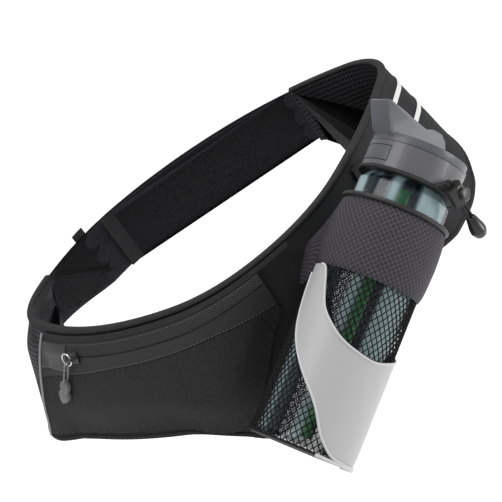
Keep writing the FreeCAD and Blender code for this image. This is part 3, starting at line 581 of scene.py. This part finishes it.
def pocket_creases(distance, height, bottom, top):
    """Puckers along the seams that die away, and slack creases across the belly."""
    at_seam = math.exp(-(top - height) / 4) + math.exp(-(height - bottom) / 5)
    pucker = 0.22 * math.sin(distance * 0.9 + math.sin(distance * 0.21) * 2) * at_seam
    crease = noise.noise(Vector((distance / 40, height / 22, 4.0)))
    dip = -0.9 * math.exp(-(top - height) / 1.2)
    return pucker + 0.45 * crease * (1 - at_seam) + dip


pocket_look = Look("pocket_cloth", (0.032, 0.032, 0.033), 0.72)
along, across = pocket_look.cloth_place()
twill = (along + across).wave(0.0013) * 0.5 + across.wave(0.0009) * 0.3
pocket_look.put("Base Color", pocket_look.mix(
    pocket_look.cloud(0.0016, 2.0).step(0.3, 0.7), (0.016, 0.016, 0.0165), (0.026, 0.026, 0.0265)))
pocket_look.bump(twill, 0.00012)
pocket = band("pocket_panel", POCKET_START, POCKET_END, pocket_low,
              lambda s: lower_seam(s) - 0.05, 0, CLOTH, 300, 110, pocket_creases)
sewn(pocket, pocket_look, "pocket_cloth", "pocket_front")
YOKE_LOW = 21.05
yoke = band("pocket_yoke_tape", POCKET_START, POCKET_END + 30, YOKE_LOW, BELT_TOP - 0.3, 0,
            CLOTH, 160, 6)
sewn(yoke, binding_look, "binding", "pocket_yoke")
gusset = slab("pocket_end_gusset", POCKET_START - CLOTH, POCKET_START - 0.05, -57, BELT_TOP - 2,
              PAD + 0.1, PAD + 3, 4, 80, 0.3, lambda distance, height, side:
              0 if side < 0 else relief(slanted(distance, height), height) - PAD - 3.3)
sewn(gusset, binding_look, "binding", "pocket_gusset")

# ---------------------------------------------------------------- zip
# Coated zip: a coarse upper tape and a finer lower one meet over the hidden coil, each sewn
# down with a row of stitches. A bonded patch hides the slider's garage at the closed end.

upper_look = Look("zip_tape_coarse", (0.035, 0.035, 0.036), 0.7)
along, across = upper_look.cloth_place()
cross = along.wave(0.0024) * across.wave(0.0024)
upper_look.put("Base Color", upper_look.mix(cross.step(-0.2, 0.6), (0.02, 0.02, 0.021),
                                            (0.05, 0.05, 0.052)))
upper_look.bump(cross, 0.0003)
lower_look = Look("zip_tape_fine", (0.032, 0.032, 0.033), 0.6)
along, across = lower_look.cloth_place()
fine = across.wave(0.0011) * 0.7 + along.wave(0.0013) * 0.4
lower_look.put("Base Color", lower_look.mix(fine.step(-0.6, 0.6), (0.022, 0.022, 0.023),
                                            (0.04, 0.04, 0.041)))
lower_look.bump(fine, 0.00015)
coil_look = Look("zip_coil", (0.012, 0.012, 0.012), 0.4)
along, across = coil_look.cloth_place()
teeth = along.wave(0.0014)
coil_look.put("Base Color", coil_look.mix(teeth.step(-0.3, 0.5), (0.004, 0.004, 0.004),
                                          (0.02, 0.02, 0.02)))
coil_look.bump(teeth, 0.0004)
upper_tape = band("zip_upper_tape", POCKET_START, POCKET_END, ZIP + COIL_HALF - 0.7,
                  YOKE_LOW - 0.1, 0, CLOTH, 240, 18,
                   lambda s, h, low, high: -0.5 * math.exp(-(high - h) / 0.9)
                  + 0.3 * math.exp(-(h - low) / 0.8))
sewn(upper_tape, upper_look, "zip_tape", "zip_tape_upper")
lower_tape = band("zip_lower_tape", POCKET_START, POCKET_END, lower_seam, ZIP - COIL_HALF + 0.7, 0,
                  CLOTH, 240, 24, lambda s, h, low, high: -0.5 * math.exp(-(h - low) / 0.9)
                  + 0.3 * math.exp(-(high - h) / 0.8))
sewn(lower_tape, lower_look, "zip_tape", "zip_tape_lower")
coil = band("zip_coil_row", POCKET_START + 6, POCKET_END - 4, ZIP - COIL_HALF + 0.75,
            ZIP + COIL_HALF - 0.75, -0.6, 0.8, 240, 3)
sewn(coil, coil_look, "zip_coil", "zip_coil")
patch_look = Look("bonded_patch", (0.03, 0.03, 0.03), 0.38)
patch_look.put("Base Color", patch_look.mix(patch_look.cloud(0.003), (0.01, 0.01, 0.01),
                                            (0.017, 0.017, 0.018)))
patch_look.bump(patch_look.cloud(0.0012), 0.00008)
patch = band("garage_cover", POCKET_START + 1, -166.5, 1, 20, 0.75, 0.65, 34, 20)
sewn(patch, patch_look, "garage", "garage_patch")


def thread_row(name, start, end, level, lift, length, gap, radius, shade):
    """A row of stitches: short raised threads that dive into the cloth at both ends."""
    look = Look(name, shade, 0.55)
    look.put("Base Color", look.mix(look.cloud(0.001), shade, [value * 1.6 for value in shade]))
    count = int((end - start) / (length + gap))
    bpy.ops.object.select_all(action="DESELECT")
    bpy.ops.mesh.primitive_uv_sphere_add(segments=6, ring_count=4, radius=1)
    row = bpy.context.object
    row.name = name
    source = [vertex.co.copy() for vertex in row.data.vertices]
    faces = [tuple(face.vertices) for face in row.data.polygons]
    points, loops = [], []
    for index in range(count):
        distance = start + (length + gap) * (index + 0.5)
        base = len(points)
        for co in source:
            at = distance + co.x * length / 2
            height = level(distance) + co.y * radius
            moved = slanted(at, height)
            points.append(wall(moved, height, relief(moved, height) + lift + co.z * radius))
        loops += [tuple(base + corner for corner in face) for face in faces]
    row.data.clear_geometry()
    row.data.from_pydata(points, [], loops)
    row.data.update()
    bpy.ops.object.shade_smooth()
    return sewn(row, look, "zip_tape")


STITCH_START = POCKET_START + 36
STITCH_END = POCKET_END - 2
thread_row("stitches_upper", STITCH_START, STITCH_END, lambda s: 19.6, 0.05, 1.7, 0.9, 0.26,
           (0.06, 0.06, 0.06))
thread_row("stitches_lower", STITCH_START, STITCH_END, lambda s: lower_seam(s) + 1.3, 0.05, 1.7,
           0.9, 0.26, (0.09, 0.09, 0.09))

# ---------------------------------------------------------------- pocket piping
# Light grey wrapped cord sewn down the pocket's left end, from the top edge to the bottom.

GREY_PIPE = 1.0
pipe_look = Look("grey_piping", (0.5, 0.5, 0.5), 0.6)
pipe_look.put("Base Color", pipe_look.mix(pipe_look.cloud(0.002), (0.2, 0.2, 0.2),
                                          (0.36, 0.36, 0.36)))
pipe_look.bump(pipe_look.cloud(0.0009), 0.0001)


def wrapped_tube(name, points, radius, cyclic=False, resolution=6):
    """A round cord or piping along points, made a mesh."""
    line = bpy.data.curves.new(name, "CURVE")
    line.dimensions = "3D"
    spline = line.splines.new("NURBS")
    spline.points.add(len(points) - 1)
    for knot, point in zip(spline.points, points):
        knot.co = (*point, 1)
    spline.order_u = 3
    spline.use_endpoint_u = not cyclic
    spline.use_cyclic_u = cyclic
    spline.resolution_u = resolution
    line.bevel_depth = radius * MM
    line.bevel_resolution = 4
    line.use_fill_caps = True
    tube = bpy.data.objects.new(name, line)
    bpy.context.scene.collection.objects.link(tube)
    bpy.ops.object.select_all(action="DESELECT")
    tube.select_set(True)
    bpy.context.view_layer.objects.active = tube
    bpy.ops.object.convert(target="MESH")
    bpy.ops.object.shade_smooth()
    return bpy.context.object


edge = []
for step in range(13):
    height = BELT_TOP - 1 - 86 * step / 12
    moved = slanted(POCKET_START - 0.8, height)
    edge.append(wall(moved, height, relief(moved, height) + GREY_PIPE * 0.6))
sewn(wrapped_tube("pocket_end_piping", edge, GREY_PIPE), pipe_look, "piping_grey",
     "pocket_piping")

# ---------------------------------------------------------------- zip slider and pull
# Painted die-cast slider with a bright wire loop, and a light cord pull moulded into a flat
# rubber grip.


def refined(name, node, bevel, angle=40, smooth=0):
    """The piece itself from its CAD form: corners joined, flats cleaned and edges rounded."""
    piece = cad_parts[node].copy()
    piece.data = piece.data.copy()
    piece.name = name
    piece.data.name = name
    piece.parent = None
    piece.matrix_world = Matrix.Identity(4)
    bpy.context.scene.collection.objects.link(piece)
    bpy.ops.object.select_all(action="DESELECT")
    piece.select_set(True)
    bpy.context.view_layer.objects.active = piece
    bpy.ops.mesh.customdata_custom_splitnormals_clear()
    bpy.ops.object.mode_set(mode="EDIT")
    bpy.ops.mesh.select_all(action="SELECT")
    bpy.ops.mesh.remove_doubles(threshold=0.00001)
    bpy.ops.mesh.dissolve_limited(angle_limit=math.radians(1.5))
    bpy.ops.mesh.normals_make_consistent(inside=False)
    bpy.ops.object.mode_set(mode="OBJECT")
    rounding = piece.modifiers.new("rounding", "BEVEL")
    rounding.width = bevel * MM
    rounding.segments = 3
    rounding.limit_method = "ANGLE"
    rounding.angle_limit = math.radians(angle)
    rounding.use_clamp_overlap = True
    bpy.ops.object.modifier_apply(modifier="rounding")
    bpy.ops.object.shade_smooth_by_angle(angle=math.radians(35))
    return piece


paint_look = Look("slider_paint", (0.04, 0.04, 0.04), 0.35, metallic=0.4)
paint_wear = paint_look.cloud(0.0015).step(0.55, 0.75)
paint_look.put("Base Color", paint_look.mix(paint_wear, (0.03, 0.03, 0.03), (0.12, 0.12, 0.12)))
paint_look.bump(paint_look.cloud(0.0008), 0.00004)
slider = refined("zip_slider_body", "zip_slider", 0.45)
sewn(slider, paint_look, "slider_metal", "zip_slider", body="zip_slider")
wire_look = Look("bright_wire", (0.75, 0.75, 0.76), 0.2, metallic=1.0)
wire_look.put("Roughness", wire_look.cloud(0.001) * 0.2 + 0.12)
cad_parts["slider_loop"].data.materials.clear()
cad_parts["slider_loop"].data.materials.append(wire_look.material)
strand_look = Look("pull_cord", (0.3, 0.3, 0.3), 0.7)
place = strand_look.add("ShaderNodeTexCoord", out=3)
spiral = strand_look.add("ShaderNodeSeparateXYZ", [place], out=2).wave(0.0011)
strand_look.put("Base Color", strand_look.mix(spiral.step(-0.5, 0.7), (0.13, 0.13, 0.13),
                                              (0.36, 0.36, 0.36)))
strand_look.bump(spiral, 0.0002)
pull_line = refined("pull_strands", "pull_cord", 0.05, 60)
sewn(pull_line, strand_look, "pull_cord", "pull_cord", body="zip_pull")
grip_look = Look("rubber_grip", (0.15, 0.15, 0.15), 0.5)
grip_look.put("Base Color", grip_look.mix(grip_look.cloud(0.004), (0.09, 0.09, 0.09),
                                          (0.14, 0.14, 0.14)))
grip_look.bump(grip_look.cloud(0.0007), 0.00006)
grip = refined("pull_grip", "pull_tab", 1.2)
sewn(grip, grip_look, "pull_grip", "pull_tab", body="zip_pull")

# ---------------------------------------------------------------- bottle
# Clear tinted drinking bottle with a green straw, a dark seal on its shoulder and a white
# bite spout under the lid.

BASE = Vector((-47, -197.7, -77.9))
AXIS = Vector((0.842, 0.3346, 0.4232)).normalized()
OUT = Vector((AXIS.y, -AXIS.x, 0)).normalized()
SIDE = AXIS.cross(OUT)
bottle_look = Look("tinted_bottle", (0.006, 0.018, 0.03), 0.05, ior=1.5, coat_weight=0.6)
film = bottle_look.cloud(0.05)
inside = bottle_look.add("ShaderNodeTexCoord", out=3)
outward = bottle_look.add("ShaderNodeVectorMath", [inside, tuple(OUT)], out=1,
                          operation="DOT_PRODUCT")
sideways = bottle_look.add("ShaderNodeVectorMath", [inside, tuple(SIDE)], out=1,
                           operation="DOT_PRODUCT")
# Pale lengthwise bands fixed round the bottle's axis: painted reflections of the lamps, which make
# the body paler and less clear along them.
painted_reflection_bands = bottle_look.cloud(0.019, 0.5, bottle_look.add("ShaderNodeCombineXYZ",
                                                       [outward, sideways])).step(0.44, 0.56)
bottle_look.put("Base Color", bottle_look.mix(painted_reflection_bands, (0.005, 0.014, 0.028),
                                              (0.33, 0.46, 0.48)))
bottle_look.put("Roughness", film * 0.06 + 0.03)
bottle_look.put("Alpha", painted_reflection_bands * 0.3 + film * 0.06 + 0.32)
straw_look = Look("green_straw", (0.03, 0.55, 0.08), 0.2, coat_weight=0.4)
straw_look.put("Base Color", straw_look.mix(straw_look.cloud(0.03), (0.02, 0.75, 0.06),
                                            (0.05, 0.85, 0.1)))
seal_look = Look("dark_seal", (0.025, 0.025, 0.027), 0.45)
seal_look.put("Base Color", seal_look.mix(seal_look.cloud(0.006), (0.006, 0.006, 0.007),
                                          (0.014, 0.014, 0.016)))
spout_look = Look("bite_spout", (0.5, 0.52, 0.55), 0.45)
spout_look.put("Base Color", spout_look.mix(spout_look.cloud(0.008), (0.45, 0.47, 0.5),
                                            (0.56, 0.58, 0.6)))
cap_look = Look("cap_plastic", (0.135, 0.135, 0.15), 0.38, coat_weight=0.15)
cap_grain = cap_look.cloud(0.0012)
cap_look.put("Base Color", cap_look.mix(cap_look.cloud(0.02), (0.072, 0.072, 0.083),
                                        (0.09, 0.09, 0.102)))
cap_look.bump(cap_grain, 0.00003)
lid_look = Look("lid_plastic", (0.24, 0.245, 0.27), 0.42, coat_weight=0.1)
lid_look.put("Base Color", lid_look.mix(lid_look.cloud(0.03), (0.055, 0.06, 0.07),
                                        (0.075, 0.08, 0.09)))
lid_look.bump(lid_look.cloud(0.001), 0.00002)
steel_look = Look("pin_steel", (0.6, 0.6, 0.6), 0.3, metallic=1.0)
steel_look.put("Roughness", steel_look.cloud(0.002) * 0.2 + 0.2)
for node, look in (("bottle_body", bottle_look), ("straw", straw_look), ("gasket", seal_look),
                   ("spout", spout_look), ("straw_sleeve", cap_look), ("lid_pin", steel_look),
                   ("cap", cap_look), ("lock_spring", steel_look)):
    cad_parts[node].data.materials.clear()
    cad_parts[node].data.materials.append(look.material)
lid = refined("lid_shell", "lid", 1.4, 30)
sewn(lid, lid_look, "lid_grey", "lid", body="lid")
catch = refined("catch_button", "cap_button", 0.7, 30)
sewn(catch, lid_look, "lid_grey", "cap_button", body="catch")

# ---------------------------------------------------------------- netting holster
# Knotted black netting in open diamonds round the bottle, with flat netting sides back to
# the panel.

NET_IN = 36.2
NET_OUT = 37.1
SLEEVE_START = -120
SLEEVE_SWEEP = 238
COLLAR_LOW = 123
COLLAR_HIGH = 175


def around(angle, height, radius):
    """A place round the bottle: degrees from straight out, height along it, and radius."""
    turned = math.radians(angle)
    across = OUT * (radius * math.cos(turned)) + SIDE * (radius * math.sin(turned))
    return (BASE + across + AXIS * height) * MM


def netting(name, width, height, mesh_size, thread, place):
    """Diamond netting: a grid turned on its corner, cut to size, put in place and made of
    thread."""
    reach = (width + height) / 1.3
    count = int(reach / mesh_size)
    bpy.ops.object.select_all(action="DESELECT")
    bpy.ops.mesh.primitive_grid_add(x_subdivisions=count, y_subdivisions=count, size=reach)
    net = bpy.context.object
    net.name = name
    for vertex in net.data.vertices:
        x, y = vertex.co.x, vertex.co.y
        vertex.co = ((x - y) * 0.62 + width / 2, (x + y) * 0.78 + height / 2, 0)
    bpy.ops.object.mode_set(mode="EDIT")
    for corner, normal in (((0, 0, 0), (-1, 0, 0)), ((width, 0, 0), (1, 0, 0)),
                           ((0, 0, 0), (0, -1, 0)), ((0, height, 0), (0, 1, 0))):
        bpy.ops.mesh.select_all(action="SELECT")
        bpy.ops.mesh.bisect(plane_co=corner, plane_no=normal, clear_outer=True)
    bpy.ops.object.mode_set(mode="OBJECT")
    for vertex in net.data.vertices:
        vertex.co = place(vertex.co.x / width, vertex.co.y / height)
    net.data.update()
    threads = net.modifiers.new("threads", "WIREFRAME")
    threads.thickness = thread * MM
    threads.use_even_offset = False
    threads.use_boundary = True
    bpy.ops.object.modifier_apply(modifier="threads")
    bpy.ops.object.shade_smooth()
    return net


net_look = Look("net_thread", (0.006, 0.006, 0.006), 0.7)
net_look.put("Base Color", net_look.mix(net_look.cloud(0.0015), (0.004, 0.004, 0.004),
                                        (0.014, 0.014, 0.014)))
net_look.bump(net_look.cloud(0.0006), 0.0002)
sleeve_length = math.radians(SLEEVE_SWEEP) * NET_OUT
sleeve = netting("net_sleeve", sleeve_length, COLLAR_LOW + 2, 4.0, 1.25,
                 lambda u, v: around(SLEEVE_START + SLEEVE_SWEEP * u, (COLLAR_LOW + 2) * v,
                                     NET_IN + 0.5 + 0.5 * math.sin(math.pi * v)
                                     * noise.noise(Vector((u * 5, v * 5, 0)))))
sewn(sleeve, net_look, "netting", "holster_net")


def leg_place(angle, low_end, high_end, low, high, lift):
    """Places on the holster's flat side, from the sleeve's edge to the panel."""
    def place(u, v):
        height = low + (high - low) * v
        share = height / COLLAR_HIGH
        edge_point = around(angle, height, NET_OUT)
        back = wall(low_end[0] + (high_end[0] - low_end[0]) * share,
                    low_end[1] + (high_end[1] - low_end[1]) * share, PAD + 0.2)
        run = back - edge_point
        normal = run.cross(AXIS).normalized()
        if normal.dot(edge_point - (BASE + AXIS * height) * MM) < 0:
            normal.negate()
        sag = 1.5 * math.sin(math.pi * min(1, max(0, u)))
        return edge_point + run * u + normal * (lift - sag) * MM
    return place


UPPER_LEG = (SLEEVE_START, (-24, -62), (58, 10))
LOWER_LEG = (SLEEVE_START + SLEEVE_SWEEP, (20, -92), (140, -62))
for name, node, ends in (("net_side_upper", "holster_side_upper", UPPER_LEG),
                         ("net_side_lower", "holster_side_lower", LOWER_LEG)):
    side_net = netting(name, 26, COLLAR_LOW + 2, 4.0, 1.2,
                       leg_place(*ends, 0, COLLAR_LOW + 2, 0.5))
    sewn(side_net, net_look, "netting", node)

# ---------------------------------------------------------------- padded collar
# Foam collar at the holster's mouth, in charcoal ripstop with an embossed diamond grid, with
# thick black piping round the rim.

collar_look = Look("ripstop", (0.045, 0.042, 0.049), 0.62)
along, across = collar_look.cloth_place()
one_way = (along + across).wave(0.0084).sum("ABSOLUTE")
other_way = (along - across).wave(0.0084).sum("ABSOLUTE")
ridges = one_way.sum("MINIMUM", other_way).step(0.08, 0.3)
grain = collar_look.cloud(0.0012)
collar_look.put("Base Color", collar_look.mix(
    ridges, (0.12, 0.113, 0.13),
    collar_look.mix(grain, (0.022, 0.02, 0.025), (0.042, 0.039, 0.047))))
collar_look.bump(ridges + grain * 0.2, 0.0004)


def collar_crown(share_up):
    """Outward lift of the padded collar across its height."""
    return 3.2 * math.sin(math.pi * share_up) ** 0.45


def collar_place(u, v):
    angle = SLEEVE_START + SLEEVE_SWEEP * u
    if v <= 0.5:
        share = v * 2
        lift = 0.3 + collar_crown(share) + 0.25 * noise.noise(Vector((u * 9, share * 4, 0)))
    else:
        share = 2 - v * 2
        lift = 0.05
    height = COLLAR_LOW + (COLLAR_HIGH - COLLAR_LOW) * share
    length = math.radians(SLEEVE_SWEEP) * 39 * u
    return around(angle, height, NET_OUT + lift), (length, height)


collar = laid_grid("collar_band", 150, 72, collar_place, closed=True)
wings = []
for name, ends in (("collar_wing_upper", UPPER_LEG), ("collar_wing_lower", LOWER_LEG)):
    inside = leg_place(*ends, COLLAR_LOW, COLLAR_HIGH, 1.0)
    outside = leg_place(*ends, COLLAR_LOW, COLLAR_HIGH, 3.6)

    def wing_place(u, v, inside=inside, outside=outside):
        share = v * 2 if v <= 0.5 else 2 - v * 2
        near, far = inside(u, share), outside(u, share)
        crown = math.sin(math.pi * share) ** 0.45 if v <= 0.5 else 0
        point = near + (far - near) * crown
        return point, (-26 * u, COLLAR_LOW + (COLLAR_HIGH - COLLAR_LOW) * share)
    wings.append(laid_grid(name, 26, 72, wing_place, closed=True))
bpy.ops.object.select_all(action="DESELECT")
for piece in (*wings, collar):
    piece.select_set(True)
bpy.context.view_layer.objects.active = collar
bpy.ops.object.join()
sewn(collar, collar_look, "collar_cloth", "holster_collar")
trim_look = Look("black_piping", (0.014, 0.014, 0.014), 0.5)
trim_look.put("Base Color", trim_look.mix(trim_look.cloud(0.002), (0.004, 0.004, 0.004),
                                          (0.012, 0.012, 0.012)))
trim_look.bump(trim_look.cloud(0.001), 0.0001)
rim = [around(SLEEVE_START + SLEEVE_SWEEP * step / 24, COLLAR_HIGH + 1.6, NET_OUT + 1.5)
       for step in range(25)]
sewn(wrapped_tube("collar_rim", rim, 1.8), trim_look, "collar_trim", "collar_piping")

# ---------------------------------------------------------------- coated boot
# Smooth light grey coated cloth over the lower netting, cut to a long curve that leaves a
# window on the bottle, edged with paler piping, over a round foot of black woven cloth.

BOOT_START = SLEEVE_START + 0.5
BOOT_END = 88
HEM = COLLAR_LOW - 0.4
boot_seam = curve_through((BOOT_START, 116), (-112, 100), (-95, 73), (-69, 51), (-40, 30),
                          (-20, 10), (0, 1), (20, 0), (BOOT_END, 0))
boot_window = curve_through((BOOT_START, HEM), (-93, HEM), (-67, 92), (-30, 75), (0, 71.4),
                            (30, 76), (BOOT_END, 86))


def boot_place(u, v):
    angle = BOOT_START + (BOOT_END - BOOT_START) * u
    low, high = boot_seam(angle), boot_window(angle)
    height = low + (high - low) * v
    foot = 1.6 * math.exp(-height / 4)
    crease = 0.25 * noise.noise(Vector((angle / 20, height / 25, 2.0)))
    return around(angle, height, NET_OUT + 1.2 - foot * 0.4 + crease), (angle * 0.65, height)


boot_look = Look("coated_cloth", (0.47, 0.47, 0.47), 0.45)
boot_look.put("Base Color", boot_look.mix(boot_look.cloud(0.03), (0.355, 0.355, 0.355),
                                          (0.39, 0.39, 0.39)))
boot_look.bump(boot_look.cloud(0.0008), 0.00005)
boot = laid_grid("boot_cloth", 160, 60, boot_place)
skin = boot.modifiers.new("thickness", "SOLIDIFY")
skin.thickness = 1.0 * MM
skin.offset = 0
bpy.ops.object.modifier_apply(modifier="thickness")
sewn(boot, boot_look, "boot_cloth", "boot")
pale_look = Look("pale_piping", (0.56, 0.56, 0.56), 0.5)
pale_look.put("Base Color", pale_look.mix(pale_look.cloud(0.003), (0.44, 0.44, 0.44),
                                          (0.52, 0.52, 0.52)))
pale_look.bump(pale_look.cloud(0.001), 0.00008)
for name, line, first, last in (("window_edging", boot_window, BOOT_START + 22, BOOT_END),
                                ("seam_edging", boot_seam, BOOT_START, BOOT_END)):
    path = [around(first + (last - first) * step / 40, line(first + (last - first) * step / 40),
                   NET_OUT + 1.6) for step in range(41)]
    sewn(wrapped_tube(name, path, 0.95), pale_look, "piping_grey")
foot_ring = [around(-20 + 110 * step / 16, -1.2, NET_OUT + 1.2) for step in range(17)]
sewn(wrapped_tube("foot_piping", foot_ring, 1.3), pale_look, "piping_grey", "boot_piping")
base = refined("holster_foot", "holster_base", 0.4)
sewn(base, binding_look, "binding", "holster_base")

# ---------------------------------------------------------------- draw cord and its lock
# Black braided elastic round the bottle's neck, both strands through a sprung barrel lock,
# their ends joined in a moulded drop.

CORD = 1.25
CORD_LEVEL = 199.2
CORD_RING = 36.0
LOCK_ANGLE = 3.0
LOCK_REACH = 44.6
LOCK_TALL = 14
lock_turn = math.radians(LOCK_ANGLE)
lock_top = (BASE + OUT * (LOCK_REACH * math.cos(lock_turn))
            + SIDE * (LOCK_REACH * math.sin(lock_turn)) + AXIS * (CORD_LEVEL + 4))
strand_way = Vector((0.83, 0.55, 0)).normalized()
cord_look = Look("braided_cord", (0.02, 0.02, 0.02), 0.55)
place = cord_look.add("ShaderNodeTexCoord", out=3)
rise = cord_look.add("ShaderNodeSeparateXYZ", [place], out=2)
swing = cord_look.add("ShaderNodeSeparateXYZ", [place], out=0)
braid = (rise + swing).wave(0.0016) * (rise - swing).wave(0.0016)
cord_look.put("Base Color", cord_look.mix(braid.step(-0.2, 0.5), (0.004, 0.004, 0.004),
                                          (0.018, 0.018, 0.018)))
cord_look.bump(braid, 0.0003)
neck_ring = [around(step * 22.5, CORD_LEVEL, CORD_RING / math.cos(math.radians(11.25)))
             for step in range(16)]
cord_ring = wrapped_tube("neck_cord", neck_ring, CORD, cyclic=True, resolution=8)
leads = []
for way in (-1, 1):
    knee = lock_top + strand_way * (way * 1.6) + Vector((0, 0, 4))
    leave = BASE + OUT * (CORD_RING * math.cos(math.radians(LOCK_ANGLE - 10))) + SIDE * (
        CORD_RING * math.sin(math.radians(LOCK_ANGLE - 10))) + AXIS * CORD_LEVEL
    route = [leave, leave + (knee - leave) * 0.6, knee, knee - Vector((0, 0, 4)),
             knee - Vector((0, 0, 4 + LOCK_TALL))]
    leads.append(wrapped_tube("cord_lead", [point * MM for point in route], CORD))
bpy.ops.object.select_all(action="DESELECT")
for piece in (*leads, cord_ring):
    piece.select_set(True)
bpy.context.view_layer.objects.active = cord_ring
bpy.ops.object.join()
sewn(cord_ring, cord_look, "cord", "draw_cord")
keeper = slab("cord_keeper_loop", 126, 134, 6, 18, PAD + 0.1, PAD + 1.6, 8, 24, 0.4,
              lambda distance, height, side: 0.6 if side > 0 else 0, straight)
sewn(keeper, binding_look, "binding", "cord_keeper")
lock_look = Look("lock_plastic", (0.03, 0.03, 0.028), 0.32)
lock_look.put("Base Color", lock_look.mix(lock_look.cloud(0.004), (0.009, 0.009, 0.008),
                                          (0.018, 0.018, 0.017)))
lock_look.bump(lock_look.cloud(0.0007), 0.00004)
lock = refined("lock_barrel", "cord_lock", 0.8, 50)
sewn(lock, lock_look, "lock_plastic", "cord_lock", body="lock")
plunger = refined("lock_plunger", "lock_button", 0.8, 50)
sewn(plunger, lock_look, "lock_plastic", "lock_button", body="lock_button")

FALL = 13
foot = lock_top - Vector((0, 0, LOCK_TALL + 0.5))
drop_look = Look("drop_rubber", (0.016, 0.016, 0.016), 0.22)
drop_look.put("Base Color", drop_look.mix(drop_look.cloud(0.004), (0.005, 0.005, 0.005),
                                          (0.012, 0.012, 0.012)))
drop_look.bump(drop_look.cloud(0.001), 0.00003)
drop = refined("cord_end_drop", "cord_drop", 1.6, 20)
sewn(drop, drop_look, "drop_rubber", "cord_drop", body="cord_end")
hanging = bpy.data.curves.new("hanging_cord", "CURVE")
hanging.dimensions = "3D"
line = hanging.splines.new("NURBS")
left, right = (foot + strand_way * (way * 1.6) for way in (-1, 1))
fall = Vector((0, 0, FALL))
route = [left, left - fall * 0.5, left - fall, left - fall * 1.35, right - fall * 1.35,
         right - fall, right - fall * 0.5, right]
line.points.add(len(route) - 1)
for knot, point in zip(line.points, route):
    knot.co = (*(point * MM), 1)
line.order_u = 3
line.use_endpoint_u = True
line.resolution_u = 12
hanging.bevel_depth = CORD * MM
hanging.bevel_resolution = 4
hanging.use_fill_caps = True
cord_loop = bpy.data.objects.new("hanging_cord", hanging)
bpy.context.scene.collection.objects.link(cord_loop)
cord_loop.data.materials.append(cord_look.material)
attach(cord_loop, "cord_end")
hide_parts("cord_end_left", "cord_end_right")
left * MM
